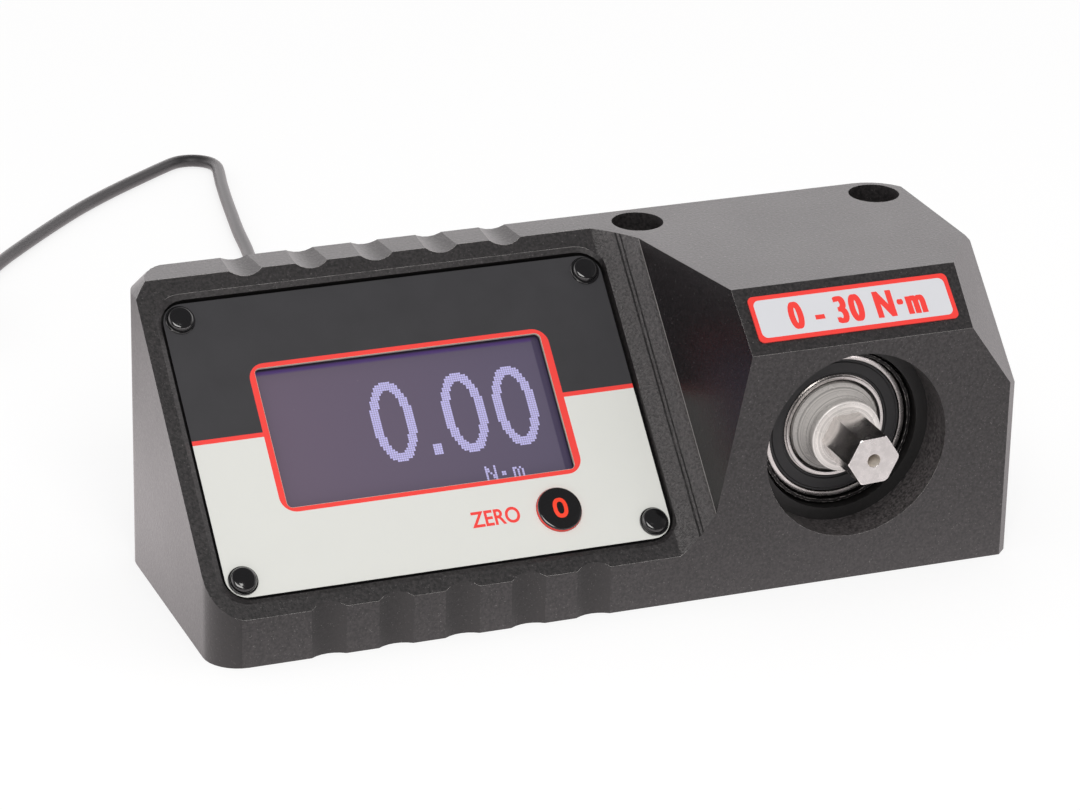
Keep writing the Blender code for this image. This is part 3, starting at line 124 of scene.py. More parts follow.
# Lead: its height on the bench, and its turns, which lie a layer apart
LEAD_DIAMETER = 0.0032
LIE = 0.0017
LAYER = LEAD_DIAMETER + 0.0001
COIL_CENTRE = (-0.1120, 0.1720)
COIL_START = math.radians(-15.1)
COIL_TURNS = 9.458
TIE_THICKNESS = 0.0007

RED = (0.90, 0.050, 0.040)


def camera():
    sin_yaw, cos_yaw = math.sin(CAMERA_YAW), math.cos(CAMERA_YAW)
    cos_pitch = math.cos(CAMERA_PITCH)
    forward = Vector((-sin_yaw * cos_pitch, cos_yaw * cos_pitch, math.sin(CAMERA_PITCH)))
    right = forward.cross(Vector((0, 0, 1))).normalized()
    down = forward.cross(right)
    turned_right = math.cos(CAMERA_ROLL) * right + math.sin(CAMERA_ROLL) * down
    turned_down = -math.sin(CAMERA_ROLL) * right + math.cos(CAMERA_ROLL) * down
    matrix = Matrix((turned_right, -turned_down, -forward)).transposed().to_4x4()
    matrix.translation = CAMERA_PLACE
    data = bpy.data.cameras.new("camera")
    data.lens = CAMERA_LENS
    data.sensor_width = 36
    data.sensor_fit = "HORIZONTAL"
    data.clip_start = 0.01
    data.clip_end = 20
    made = bpy.data.objects.new("camera", data)
    made.matrix_world = matrix
    bpy.context.scene.collection.objects.link(made)
    bpy.context.scene.camera = made


def add(tree, kind, inputs=None, **settings):
    """Adds a node; an input takes a value or another node's output."""
    node = tree.nodes.new(kind)
    for key, value in settings.items():
        setattr(node, key, value)
    for key, value in (inputs or {}).items():
        if isinstance(value, bpy.types.NodeSocket):
            tree.links.new(value, node.inputs[key])
        else:
            node.inputs[key].default_value = value
    return node


def math_of(tree, operation, first, second=0.5):
    return add(tree, "ShaderNodeMath", {0: first, 1: second}, operation=operation).outputs[0]


def blend_of(tree, factor, first, second):
    """Colour between first and second, which go into the mix node's colour inputs, 6 and 7."""
    node = add(tree, "ShaderNodeMix", data_type="RGBA")
    for socket, value in ((node.inputs[0], factor), (node.inputs[6], first), (node.inputs[7], second)):
        if isinstance(value, bpy.types.NodeSocket):
            tree.links.new(value, socket)
        elif isinstance(value, tuple):
            socket.default_value = (*value, 1)
        else:
            socket.default_value = value
    return node.outputs[2]


def range_of(tree, value, low, high, to_low=0.0, to_high=1.0):
    inputs = {"Value": value, "From Min": low, "From Max": high, "To Min": to_low, "To Max": to_high}
    return add(tree, "ShaderNodeMapRange", inputs, clamp=True).outputs["Result"]


def product_of(tree, place, rows):
    """Product of ranges; a row is an axis, where its range starts and ends, and its values there."""
    split = add(tree, "ShaderNodeSeparateXYZ", {0: place})
    product = 1.0
    for axis, start, end, first, last in rows:
        ranged = range_of(tree, split.outputs[axis], start, end, first, last)
        product = math_of(tree, "MULTIPLY", product, ranged)
    return product


def feed(shader, key, output):
    """Links a node's output to the shader's input of that name."""
    shader.id_data.links.new(output, shader.inputs[key])


def scaled(colour, factor):
    return tuple(min(1, c * factor) for c in colour)


def new_material(name, colour, roughness, metallic=0.0, **constants):
    """A Principled material, its tree and shader, and the object's place; constants are set on the shader."""
    made = bpy.data.materials.new(name)
    made.use_nodes = True
    made.diffuse_color = (*colour, 1)
    tree = made.node_tree
    shader = tree.nodes["Principled BSDF"]
    shader.inputs["Base Color"].default_value = (*colour, 1)
    shader.inputs["Roughness"].default_value = roughness
    shader.inputs["Metallic"].default_value = metallic
    for key, value in constants.items():
        shader.inputs[key.replace("_", " ")].default_value = value
    return made, tree, shader, object_place(tree)


def object_place(tree):
    return add(tree, "ShaderNodeTexCoord").outputs["Object"]


def noise_of(tree, place, size, detail=2.0, roughness=0.5):
    """Noise with grains of about the given size in metres."""
    inputs = {"Vector": place, "Scale": 1 / size, "Detail": detail, "Roughness": roughness}
    return add(tree, "ShaderNodeTexNoise", inputs).outputs["Fac"]


def bump_of(tree, shader, height, depth, strength=1.0):
    bump = add(tree, "ShaderNodeBump", {"Height": height, "Distance": depth, "Strength": strength})
    feed(shader, "Normal", bump.outputs[0])


def paint(name="paint", colour=(0.0140, 0.0122, 0.0126), rough=0.46, skin=0.7, index=1.60, light_painted_facing_left=False):
    """Dark satin coating with a fine grain and light specks; the switch at its end paints light on it where
    it faces left.
    """
    made, tree, shader, place = new_material(name, colour, rough, IOR=index)
    grain = noise_of(tree, place, size=0.00060, detail=2.0, roughness=0.6)
    fine = noise_of(tree, place, size=0.00034, detail=1.0)
    broad = noise_of(tree, place, size=0.0140, detail=3.0)
    shade = blend_of(tree, range_of(tree, grain, 0.34, 0.68), scaled(colour, 0.25), scaled(colour, 2.1))
    speck = math_of(tree, "MULTIPLY", range_of(tree, fine, 0.68, 0.78), 0.9 * skin)
    shade = blend_of(tree, speck, shade, (0.16, 0.15, 0.148))
    # Painted light: paler where the face turns left.
    if light_painted_facing_left:
        normal = add(tree, "ShaderNodeNewGeometry").outputs["Normal"]
        facing_left = product_of(tree, normal, [("X", 0.30, -0.45, 0.0, 0.45)])
        shade = blend_of(tree, facing_left, shade, (0.046, 0.042, 0.0425))
    feed(shader, "Base Color", shade)
    feed(shader, "Roughness", range_of(tree, broad, 0.3, 0.7, rough - 0.01, rough + 0.01))
    height = math_of(tree, "ADD", grain, math_of(tree, "MULTIPLY", fine, 0.4))
    bump_of(tree, shader, height, 0.000085, skin)
    return made


def ramp_skin_and_painted_shade():
    """The coating on the ramp: a leathery skin and the two marks that a cutter left along it, their shade
    painted dark into the colour.
    """
    rough, rubbed = 0.42, 0.85
    made, tree, shader, place = new_material("ramp_skin_and_painted_shade", (0.016, 0.0145, 0.0148), rough, IOR=1.60)
    skin = noise_of(tree, place, size=0.00050, detail=2.0, roughness=0.55)
    fine = noise_of(tree, place, size=0.00022, detail=1.0)
    shade = blend_of(tree, range_of(tree, skin, 0.36, 0.66), (0.015, 0.0135, 0.0137), (0.056, 0.051, 0.051))
    split = add(tree, "ShaderNodeSeparateXYZ", {0: place})
    waver = math_of(tree, "SUBTRACT", noise_of(tree, place, size=0.0030), 0.5)
    across = math_of(tree, "ADD", split.outputs["X"], math_of(tree, "MULTIPLY", waver, 0.00018))
    marks = 0.0
    for spot, width in RAMP_MARKS:
        off = math_of(tree, "ABSOLUTE", math_of(tree, "SUBTRACT", across, spot))
        marks = math_of(tree, "MAXIMUM", marks, range_of(tree, off, width * 0.5, width * 1.6, 1.0, 0.0))
    broken = range_of(tree, noise_of(tree, place, size=0.0022, detail=3.0), 0.36, 0.50, 0.45, 1.0)
    marks = math_of(tree, "MULTIPLY", marks, broken)
    # Painted shade: the cutter's marks are darkened in the colour.
    feed(shader, "Base Color", blend_of(tree, marks, shade, (0.0015, 0.0012, 0.0014)))
    feed(shader, "Roughness", range_of(tree, marks, 0.0, 1.0, rough, rubbed))
    height = math_of(tree, "ADD", skin, math_of(tree, "MULTIPLY", fine, 0.3))
    height = math_of(tree, "SUBTRACT", height, math_of(tree, "MULTIPLY", marks, 1.6))
    bump_of(tree, shader, height, 0.00030, 0.9)
    return made


def wear_and_highlight_edge():
    """Pale, blotchy colour on chosen broken edges: painted highlight and wear in one."""
    made, tree, shader, place = new_material("wear_and_highlight_edge", (0.16, 0.15, 0.147), 0.40, IOR=1.60)
    wear = range_of(tree, noise_of(tree, place, size=0.0011, detail=4.0, roughness=0.7), 0.34, 0.52)
    feed(shader, "Base Color", blend_of(tree, wear, (0.070, 0.066, 0.066), (0.66, 0.64, 0.62)))
    bump_of(tree, shader, noise_of(tree, place, size=0.0004), 0.00002)
    return made


def rough_edge():
    """Black metal's edge, chipped bright in places."""
    made, tree, shader, place = new_material("rough_edge", (0.05, 0.048, 0.047), 0.40, 0.6)
    chips = range_of(tree, noise_of(tree, place, size=0.00060, detail=4.0, roughness=0.8), 0.46, 0.60)
    feed(shader, "Base Color", blend_of(tree, chips, (0.020, 0.019, 0.019), (0.50, 0.48, 0.46)))
    bump_of(tree, shader, chips, 0.00005)
    return made


# Near-black for the opening's depths and the panel's pocket: painted shade, as the block has one coating.
def bore_painted_shade():
    made, tree, shader, place = new_material("bore_painted_shade", (0.008, 0.008, 0.008), 0.5)
    grain = noise_of(tree, place, size=0.0005, detail=3.0)
    feed(shader, "Base Color", blend_of(tree, grain, (0.004, 0.004, 0.004), (0.014, 0.013, 0.013)))
    bump_of(tree, shader, grain, 0.00003)
    return made


def printed(name, colour, roughness=0.38, spread=0.06):
    """Ink or film on the panel: nearly even, with a faint orange-peel surface."""
    made, tree, shader, place = new_material(name, colour, roughness)
    soft = noise_of(tree, place, size=0.0060, detail=3.0)
    feed(shader, "Base Color", blend_of(tree, soft, scaled(colour, 1 - spread), scaled(colour, 1 + spread)))
    bump_of(tree, shader, noise_of(tree, place, size=0.0005), 0.000006, 0.6)
    return made


def gloss(name, colour, roughness, coat):
    made, tree, shader, place = new_material(name, colour, roughness, Coat_Weight=coat, Coat_Roughness=0.06)
    soft = noise_of(tree, place, size=0.0030, detail=3.0)
    feed(shader, "Base Color", blend_of(tree, soft, scaled(colour, 0.8), colour))
    feed(shader, "Roughness", range_of(tree, soft, 0.3, 0.7, roughness * 0.8, roughness * 1.3))
    return made


def metal(name, colour, roughness, rings=None, depth=0.000004, metallic=1.0, low=0.82):
    """Machined metal, its dark marks low times its colour; rings is the width of marks round the drive."""
    made, tree, shader, place = new_material(name, colour, roughness, metallic)
    if rings is None:
        marks = noise_of(tree, place, size=0.0012, detail=2.0, roughness=0.4)
    else:
        split = add(tree, "ShaderNodeSeparateXYZ", {0: place})
        x = math_of(tree, "SUBTRACT", split.outputs["X"], DRIVE.translation.x)
        z = math_of(tree, "SUBTRACT", split.outputs["Z"], DRIVE.translation.z)
        squares = math_of(tree, "ADD", math_of(tree, "MULTIPLY", x, x), math_of(tree, "MULTIPLY", z, z))
        radius = math_of(tree, "SQRT", squares)
        joined = add(tree, "ShaderNodeCombineXYZ", {"X": radius, "Y": split.outputs["Y"]})
        marks = noise_of(tree, joined.outputs[0], size=rings, detail=3.0, roughness=0.7)
    broad = noise_of(tree, place, size=0.0030, detail=3.0)
    feed(shader, "Base Color", blend_of(tree, range_of(tree, marks, 0.36, 0.64), scaled(colour, low), colour))
    feed(shader, "Roughness", range_of(tree, broad, 0.3, 0.7, roughness * 0.8, roughness * 1.25))
    bump_of(tree, shader, marks, depth)
    return made


def rubber(name, colour, roughness, size=0.0006):
    made, tree, shader, place = new_material(name, colour, roughness)
    grain = noise_of(tree, place, size, detail=3.0)
    feed(shader, "Base Color", blend_of(tree, grain, colour, scaled(colour, 1.7)))
    bump_of(tree, shader, grain, 0.00002, 0.6)
    return made


def circuit():
    made, tree, shader, place = new_material("circuit_board", (0.012, 0.11, 0.045), 0.32)
    inputs = {"Vector": place, "Scale": 420.0, "Randomness": 0.1}
    cells = add(tree, "ShaderNodeTexVoronoi", inputs, distance="MANHATTAN", feature="F1")
    traces = range_of(tree, cells.outputs["Distance"], 0.36, 0.42)
    feed(shader, "Base Color", blend_of(tree, traces, (0.010, 0.085, 0.035), (0.020, 0.16, 0.065)))
    bump_of(tree, shader, traces, 0.00003, 0.5)
    return made


def screen():
    """The display's face: a dusky film, faintly lighter to the left and with dust on it."""
    dusky = (0.11, 0.083, 0.13)
    made, tree, shader, place = new_material("screen", dusky, 0.30, Coat_Weight=0.5, Coat_Roughness=0.08)
    split = add(tree, "ShaderNodeSeparateXYZ", {0: place})
    side = range_of(tree, split.outputs["X"], -0.068, -0.004)
    colour = blend_of(tree, side, (0.135, 0.103, 0.150), (0.105, 0.088, 0.145))
    dust = range_of(tree, noise_of(tree, place, size=0.0011), 0.74, 0.80, 0.0, 0.25)
    colour = blend_of(tree, dust, colour, (0.24, 0.21, 0.24))
    # The cell's own frame shows through: a violet and a dark strip along the top, and one down the right side
    top = (SLOPE @ Vector((0, WINDOW_HIGH[1], GLASS))).z
    right = (SLOPE @ Vector((WINDOW_HIGH[0], 0, 0))).x
    strips = [
        ("Z", top - 0.00085, top - 0.00050, (0.080, 0.042, 0.175)),
        ("Z", top - 0.00020, top, (0.050, 0.040, 0.062)),
        ("X", right - 0.0017, right - 0.0014, (0.060, 0.046, 0.098)),
    ]
    for axis, start, end, tint in strips:
        colour = blend_of(tree, range_of(tree, split.outputs[axis], start, end), colour, tint)
    feed(shader, "Base Color", colour)
    return made


def arc(centre, radius, start, end, steps=10):
    """Points on an arc from start to end, in degrees, both ends included."""
    points = []
    for i in range(steps + 1):
        angle = math.radians(start + (end - start) * i / steps)
        points.append((centre[0] + radius * math.cos(angle), centre[1] + radius * math.sin(angle)))
    return points


def round_corner(low, high, radius, quarter):
    """Points round a corner of a box, anticlockwise: 0 is top right, 1 top left, 2 low left, 3 low right."""
    x = low[0] + radius if quarter in (1, 2) else high[0] - radius
    y = low[1] + radius if quarter in (2, 3) else high[1] - radius
    return arc((x, y), radius, 90 * quarter, 90 * quarter + 90)


def rounded_box(low, high, radius):
    """Outline of a rectangle with round corners, anticlockwise."""
    return [point for quarter in (3, 0, 1, 2) for point in round_corner(low, high, radius, quarter)]


def circle(centre, radius, steps=64):
    return arc(centre, radius, 0, 360 - 360 / steps, steps - 1)


def turned(profile, steps, ring=False):
    """Revolves (radius, height) points about local Z; ring closes the profile on itself."""
    bm = bmesh.new()
    rows = []
    for radius, height in profile:
        spots = circle((0, 0), radius, steps) if radius else [(0, 0)]
        rows.append([bm.verts.new((x, y, height)) for x, y in spots])
    pairs = list(zip(rows, rows[1:]))
    if ring:
        pairs.append((rows[-1], rows[0]))
    for first, second in pairs:
        for i in range(steps):
            j = (i + 1) % steps
            corners = [first[i % len(first)], first[j % len(first)]]
            corners += [second[j % len(second)], second[i % len(second)]]
            corners = list(dict.fromkeys(corners))
            if len(corners) > 2:
                bm.faces.new(corners)
    return bm


def crowned(radius, turn_in, rim, crown, angles, shares):
    """Profile of a cap's top: its edge turns in up to the rim, then it swells by the crown to its middle."""
    profile = []
    for turn in map(math.radians, angles):
        profile.append((radius - turn_in * (1 - math.cos(turn)), rim - turn_in * (1 - math.sin(turn))))
    for share in shares:
        profile.append(((radius - turn_in) * share, rim + crown * (1 - share**2)))
    return profile


def join_rings(bm, first, second):
    """A closed body between two rings of points."""
    bm.faces.new(first[::-1])
    bm.faces.new(second)
    for i in range(len(first)):
        j = (i + 1) % len(first)
        bm.faces.new((first[i], first[j], second[j], second[i]))


def piece(name, bm, finishes, body, matrix=None, smooth=35, replaces=(), level=False):
    """Turns the bmesh into a shown object that rides on a CAD body."""
    bmesh.ops.recalc_face_normals(bm, faces=bm.faces)
    mesh = bpy.data.meshes.new(name)
    bm.to_mesh(mesh)
    bm.free()
    if matrix is not None:
        mesh.transform(matrix)
    if smooth:
        mesh.shade_smooth()
        mesh.set_sharp_from_angle(angle=math.radians(smooth))
    for finish in finishes if isinstance(finishes, list) else [finishes]:
        mesh.materials.append(finish)
    made = bpy.data.objects.new(name, mesh)
    bpy.context.scene.collection.objects.link(made)
    if level:
        modifier = made.modifiers.new("level", "WEIGHTED_NORMAL")
        modifier.keep_sharp = True
    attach(made, body)
    if replaces:
        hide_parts(*replaces)


def filled(curve):
    """The bmesh of a flat curve or text, its caps joined to its sides."""
    holder = bpy.data.objects.new("holder", curve)
    bpy.context.scene.collection.objects.link(holder)
    mesh = bpy.data.meshes.new_from_object(holder.evaluated_get(bpy.context.evaluated_depsgraph_get()))
    bm = bmesh.new()
    bm.from_mesh(mesh)
    bpy.data.objects.remove(holder)
    bpy.data.meshes.remove(mesh)
    bmesh.ops.remove_doubles(bm, verts=bm.verts, dist=1e-7)
    return bm


def flat_shape(outlines, low, high):
    """A flat plate with the given outlines; an outline inside another one is a hole."""
    curve = bpy.data.curves.new("outline", "CURVE")
    curve.dimensions = "2D"
    curve.fill_mode = "BOTH"
    curve.extrude = (high - low) / 2
    for outline in outlines:
        spline = curve.splines.new("POLY")
        spline.points.add(len(outline) - 1)
        spline.use_cyclic_u = True
        for point, (x, y) in zip(spline.points, outline):
            point.co = (x, y, 0, 1)
    bm = filled(curve)
    bm.transform(Matrix.Translation((0, 0, (low + high) / 2)))
    return bm


def lettering(text, low, high, heights, bold, spacing=1.0):
    """Text as a flat shape that fills the box from low to high in X and Y, between two heights."""
    curve = bpy.data.curves.new("lettering", "FONT")
    curve.body = text
    curve.size = 1.0
    curve.offset = bold
    curve.space_character = spacing
    curve.resolution_u = 8
    curve.extrude = 0.5
    bm = filled(curve)
    xs = [v.co.x for v in bm.verts]
    ys = [v.co.y for v in bm.verts]
    scale_x = (high[0] - low[0]) / (max(xs) - min(xs))
    scale_y = (high[1] - low[1]) / (max(ys) - min(ys))
    for vertex in bm.verts:
        vertex.co.x = low[0] + (vertex.co.x - min(xs)) * scale_x
        vertex.co.y = low[1] + (vertex.co.y - min(ys)) * scale_y
        vertex.co.z = heights[0] if vertex.co.z < 0 else heights[1]
    return bm


def copy_of(node):
    """The CAD node's mesh with its split points joined and its flat faces whole."""
    bm = bmesh.new()
    bm.from_mesh(frame["nodes"][node].data)
    bmesh.ops.remove_doubles(bm, verts=bm.verts, dist=2e-6)
    bmesh.ops.dissolve_limit(
        bm, angle_limit=math.radians(0.6), verts=bm.verts, edges=bm.edges, use_dissolve_boundaries=False
    )
    for layer in list(bm.loops.layers.uv):
        bm.loops.layers.uv.remove(layer)
    return bm


def break_edges(bm, width, least=22, mark=0):
    """Rounds the convex edges over the least angle; the new faces take the material of index mark."""
    edges = []
    for edge in bm.edges:
        if len(edge.link_faces) == 2 and edge.is_convex and edge.calc_face_angle(0) > math.radians(least):
            edges.append(edge)
    made = bmesh.ops.bevel(
        bm, geom=edges, offset=width, offset_type="OFFSET", segments=2, profile=0.5,
        affect="EDGES", clamp_overlap=True, loop_slide=True,
    )
    for face in made["faces"]:
        face.material_index = mark
    return bm


def softened(node, finishes, width, mark=0):
    """A CAD node with its edges broken stands for that node."""
    bm = break_edges(copy_of(node), width, mark=mark)
    body = body_of(frame["nodes"][node])[0]
    piece(f"{node}_shape", bm, finishes, body, replaces=(node,), level=True)


def widest_plane(node, towards):
    """Normal of the node's widest flat face that looks about the given way, and a point on it."""
    found = {}
    for face in frame["nodes"][node].data.polygons:
        if face.normal.dot(Vector(towards).normalized()) < 0.8:
            continue
        key = tuple(round(c, 2) for c in face.normal) + (round(face.normal.dot(face.center), 5),)
        area, _, _ = found.get(key, (0, None, None))
        found[key] = (area + face.area, face.normal.copy(), face.center.copy())
    _, normal, point = max(found.values(), key=lambda entry: entry[0])
    return normal, point


def plane_frame(node, towards):
    """Frame on a node's widest face: X along the block, Y up the face, Z off it, origin at its low left."""
    normal, point = widest_plane(node, towards)
    across = Vector((1, 0, 0))
    up = normal.cross(across).normalized()
    points = [v.co for v in frame["nodes"][node].data.vertices]
    left = min(p.x for p in points)
    foot = min(p.dot(up) for p in points if abs((p - point).dot(normal)) < 1e-5)
    origin = across * left + up * foot + normal * point.dot(normal)
    made = Matrix((across, up, normal)).transposed().to_4x4()
    made.translation = origin
    return made


def smooth_route(points, spacing):
    """Points at about the given spacing on a smooth curve through the route's points."""
    spots = [Vector(point) for point in points]
    spots = [2 * spots[0] - spots[1]] + spots + [2 * spots[-1] - spots[-2]]
    made = []
    for i in range(1, len(spots) - 2):
        before, start, end, after = spots[i - 1 : i + 3]
        steps = max(1, round((end - start).length / spacing))
        for k in range(steps):
            t = k / steps
            straight = 2 * start + (end - before) * t
            bend = (2 * before - 5 * start + 4 * end - after) * t**2
            twist = (3 * start - before - 3 * end + after) * t**3
            made.append((straight + bend + twist) / 2)
    made.append(spots[-2])
    return made


def between(table, t):
    """Value at t in a table of (t, value) rows, straight between the rows."""
    for (start, low), (end, high) in zip(table, table[1:]):
        if t <= end:
            return low + (high - low) * max(0, t - start) / (end - start)
    return table[-1][1]


def eased(table, t, reach=0.06):
    """The table's value averaged round t, so that its corners are round."""
    return sum(between(table, t + reach * k / 4) for k in range(-4, 5)) / 9


def coil_points():
    """The lead's turns: in along the bench, out over them, in again and down on the far side."""
    wide, middle, tight = 0.0232, 0.0173, 0.0136
    radii = [(-0.2, 0.0275), (0, 0.0258), (0.15, wide), (3.15, tight), (3.35, tight), (6.35, wide)]
    radii += [(6.55, wide), (8.40, middle), (8.60, middle), (8.98, 0.0268), (9.10, 0.0278), (9.30, 0.0278)]
    radii += [(COIL_TURNS, 0.0265), (10, 0.0265)]
    first, second, third, fourth = [LIE + LAYER * k for k in range(4)]
    levels = [(0, first), (3.15, first), (3.35, second), (6.35, second), (6.55, third), (8.40, third)]
    levels += [(8.60, fourth), (9.00, fourth), (9.36, first), (10, first)]
    points = []
    count = 900
    for i in range(1, count + 1):
        t = COIL_TURNS * i / count
        angle = COIL_START - 2 * math.pi * t
        radius, height = eased(radii, t), eased(levels, t)
        # Turns inside the tie, which is at the coil's front, stand on its lower bar
        off = abs((angle + math.pi / 2 + math.pi) % (2 * math.pi) - math.pi)
        if t < 9 and off < 0.5:
            height += TIE_THICKNESS * (1 - off / 0.5) ** 0.5
        x = COIL_CENTRE[0] + radius * math.cos(angle)
        y = COIL_CENTRE[1] + radius * math.sin(angle)
        points.append(Vector((x, y, height)))
    return points


def lead():
    """The whole lead as one curve, from its plug's relief to the far plug's relief."""
    route = [
        (-0.0358, 0.06165, 0.0130),
        (-0.0357, 0.0680, 0.0120),
        (-0.0353, 0.0760, 0.0085),
        (-0.0345, 0.0850, 0.0042),
        (-0.0332, 0.0945, 0.0019),
        (-0.0315, 0.1040, LIE),
        (-0.0280, 0.1180, LIE),
        (-0.0238, 0.1330, LIE),
        (-0.0196, 0.1490, LIE),
        (-0.0155, 0.1660, LIE),
        (-0.0118, 0.1835, LIE),
        (-0.0096, 0.1982, LIE),
        (-0.0076, 0.2095, LIE),
        (-0.0055, 0.2210, LIE),
        (-0.0032, 0.2325, LIE),
        (-0.0017, 0.2390, LIE),
        (-0.0006, 0.2444, LIE),
        (-0.0009, 0.2478, LIE),
        (-0.0024, 0.2502, LIE),
        (-0.0048, 0.2517, LIE),
        (-0.0076, 0.2521, LIE),
        (-0.0104, 0.2513, LIE),
        (-0.0143, 0.2487, LIE),
        (-0.0196, 0.2448, LIE),
        (-0.0305, 0.2365, LIE),
        (-0.0416, 0.2271, LIE),
        (-0.0529, 0.2160, LIE),
        (-0.0644, 0.2038, LIE),
        (-0.0702, 0.1972, LIE),
        (-0.0757, 0.1902, LIE),
        (-0.0802, 0.1833, LIE),
        (-0.0834, 0.1764, LIE),
        (-0.0857, 0.1703, LIE),
        (-0.0871, 0.1653, LIE),
    ]
    points = smooth_route(route, 0.0015)[:-1] + coil_points()
    tail = [(-0.1388, 0.1790, 0.0022), (-0.13895, 0.1860, 0.0035), (-0.138987, 0.1920, 0.0041)]
    points += smooth_route(points[-2:] + tail, 0.0012)[2:]
    curve = bpy.data.curves.new("lead", "CURVE")
    curve.dimensions = "3D"
    curve.bevel_depth = LEAD_DIAMETER / 2
    curve.bevel_resolution = 4
    curve.use_fill_caps = True
    spline = curve.splines.new("POLY")
    spline.points.add(len(points) - 1)
    for spot, point in zip(spline.points, points):
        spot.co = (*point, 1)
    curve.materials.append(rubber("lead_sheath", (0.020, 0.019, 0.020), 0.48))
    made = bpy.data.objects.new("lead", curve)
    bpy.context.scene.collection.objects.link(made)
    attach(made, "block")
    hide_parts("lead_cord", "lead_coil", "lead_tail")
    return made, route[0]


def seen_ray(tree):
    """1 for camera, mirror and see-through rays, 0 for the rays that light the object; and the rays' node."""
    path = add(tree, "ShaderNodeLightPath")
    seen = math_of(tree, "MAXIMUM", path.outputs["Is Camera Ray"], path.outputs["Is Glossy Ray"])
    return math_of(tree, "MAXIMUM", seen, path.outputs["Is Transmission Ray"]), path


def surroundings():
    """White all round to the camera. What mirrors them sees them pale low down behind the block, else dim."""
    world = bpy.data.worlds.new("studio")
    bpy.context.scene.world = world
    world.use_nodes = True
    tree = world.node_tree
    seen, path = seen_ray(tree)
    direction = add(tree, "ShaderNodeTexCoord").outputs["Generated"]
    rows = [("Z", 0.46, 0.74, 1.0, 0.0), ("Y", -0.55, 0.25, 0.0, 1.0), ("X", 0.35, 0.80, 1.0, 0.76)]
    pale = product_of(tree, direction, rows)
    mirrored = blend_of(tree, pale, (0.16, 0.155, 0.16), (3.05, 2.93, 2.95))
    seen_level = blend_of(tree, path.outputs["Is Camera Ray"], mirrored, (1.0, 1.0, 1.0))
    feed(tree.nodes["Background"], "Color", blend_of(tree, seen, (0.62, 0.615, 0.62), seen_level))


def key_lamp():
    """One large soft lamp, in front, to the left and above."""
    data = bpy.data.lights.new("key", "AREA")
    data.shape = "RECTANGLE"
    data.size, data.size_y = 1.2, 0.9
    data.energy = 21
    data.color = (1.0, 0.985, 0.965)
    key = bpy.data.objects.new("key", data)
    key.location = (-0.42, -1.50, 1.35)
    key.rotation_mode = "QUATERNION"
    key.rotation_quaternion = Vector(key.location).to_track_quat("Z", "Y")
    bpy.context.scene.collection.objects.link(key)


def bench_finish():
    """Pale bench. What mirrors it sees it dim near the block's front, brighter behind and far in front."""
    made = bpy.data.materials.new("bench")
    made.use_nodes = True
    tree = made.node_tree
    tree.nodes.remove(tree.nodes["Principled BSDF"])
    seen, path = seen_ray(tree)
    place = object_place(tree)
    near = [("Y", -0.09, 0.08, 0.50, 3.0), ("X", -0.16, 0.08, 0.86, 1.0)]
    near += [("X", 0.12, 0.60, 1.0, 0.72), ("Y", 0.05, 0.11, 1.0, 0.64)]
    far = product_of(tree, place, [("Y", -0.55, -0.36, 3.4, 0.0)])
    mirrored = math_of(tree, "MAXIMUM", product_of(tree, place, near), far)
    glossy = path.outputs["Is Glossy Ray"]
    plain = math_of(tree, "MULTIPLY", math_of(tree, "SUBTRACT", 1.0, glossy), 0.74)
    level = math_of(tree, "ADD", plain, math_of(tree, "MULTIPLY", mirrored, glossy))
    tint = blend_of(tree, glossy, (1.0, 1.0, 1.0), (1.0, 0.93, 0.94))
    glow = add(tree, "ShaderNodeEmission", {"Color": tint, "Strength": level}).outputs[0]
    soft = add(tree, "ShaderNodeBsdfDiffuse", {"Color": (0.30, 0.30, 0.30, 1)}).outputs[0]
    shown = add(tree, "ShaderNodeAddShader", {0: soft, 1: glow}).outputs[0]
    pale = add(tree, "ShaderNodeBsdfDiffuse", {"Color": (0.80, 0.80, 0.80, 1)}).outputs[0]
    mix = add(tree, "ShaderNodeMixShader", {0: seen, 1: pale, 2: shown})
    feed(tree.nodes["Material Output"], "Surface", mix.outputs[0])
    return made


def lay_bench():
    mesh = bpy.data.meshes.new("bench")
    reach = 6.0
    corners = [(-reach, -reach, 0), (reach, -reach, 0), (reach, reach, 0), (-reach, reach, 0)]
    mesh.from_pydata(corners, [], [(0, 1, 2, 3)])
    mesh.materials.append(bench_finish())
    bench = bpy.data.objects.new("bench", mesh)
    bpy.context.scene.collection.objects.link(bench)


def highlight_and_wear_place(point):
    """True at the broken edges picked for their brightness, which take painted highlight and wear."""
    local = SLOPE.inverted() @ point
    axis = DRIVE.translation
    depth = point.y - FRONT_FACE
    front = depth < 0.0006
    chamfer_foot = front and point.x > BLOCK_LEFT - 0.0010 and abs(point.z - CHAMFER_FOOT) < 0.0006
    cheek_top = abs(point.x - BLOCK_LEFT - 0.0070) < 0.0080 and depth < 0.0112
    cheek_top = cheek_top and point.z > CHAMFER_FOOT + 0.0002
    from_rim = abs(math.hypot(point.x - axis.x, point.z - axis.z) - OPENING_RADIUS)
    low_rim = front and from_rim < 0.0004 and point.z < axis.z - 0.0060
    apron = front and abs(point.z - APRON_HEIGHT) < 0.0012
    pocket_top = local.x < PANEL_HIGH[0] and local.y > PANEL_HIGH[1] + 0.0008
    pocket_top = pocket_top and abs(local.z - 0.0010) < 0.0003
    lip = 0.0006 < depth < 0.0040 and abs(local.z) < 0.0003 and point.z < HOLLOW_TOP
    return chamfer_foot or cheek_top or low_rim or apron or pocket_top or lip


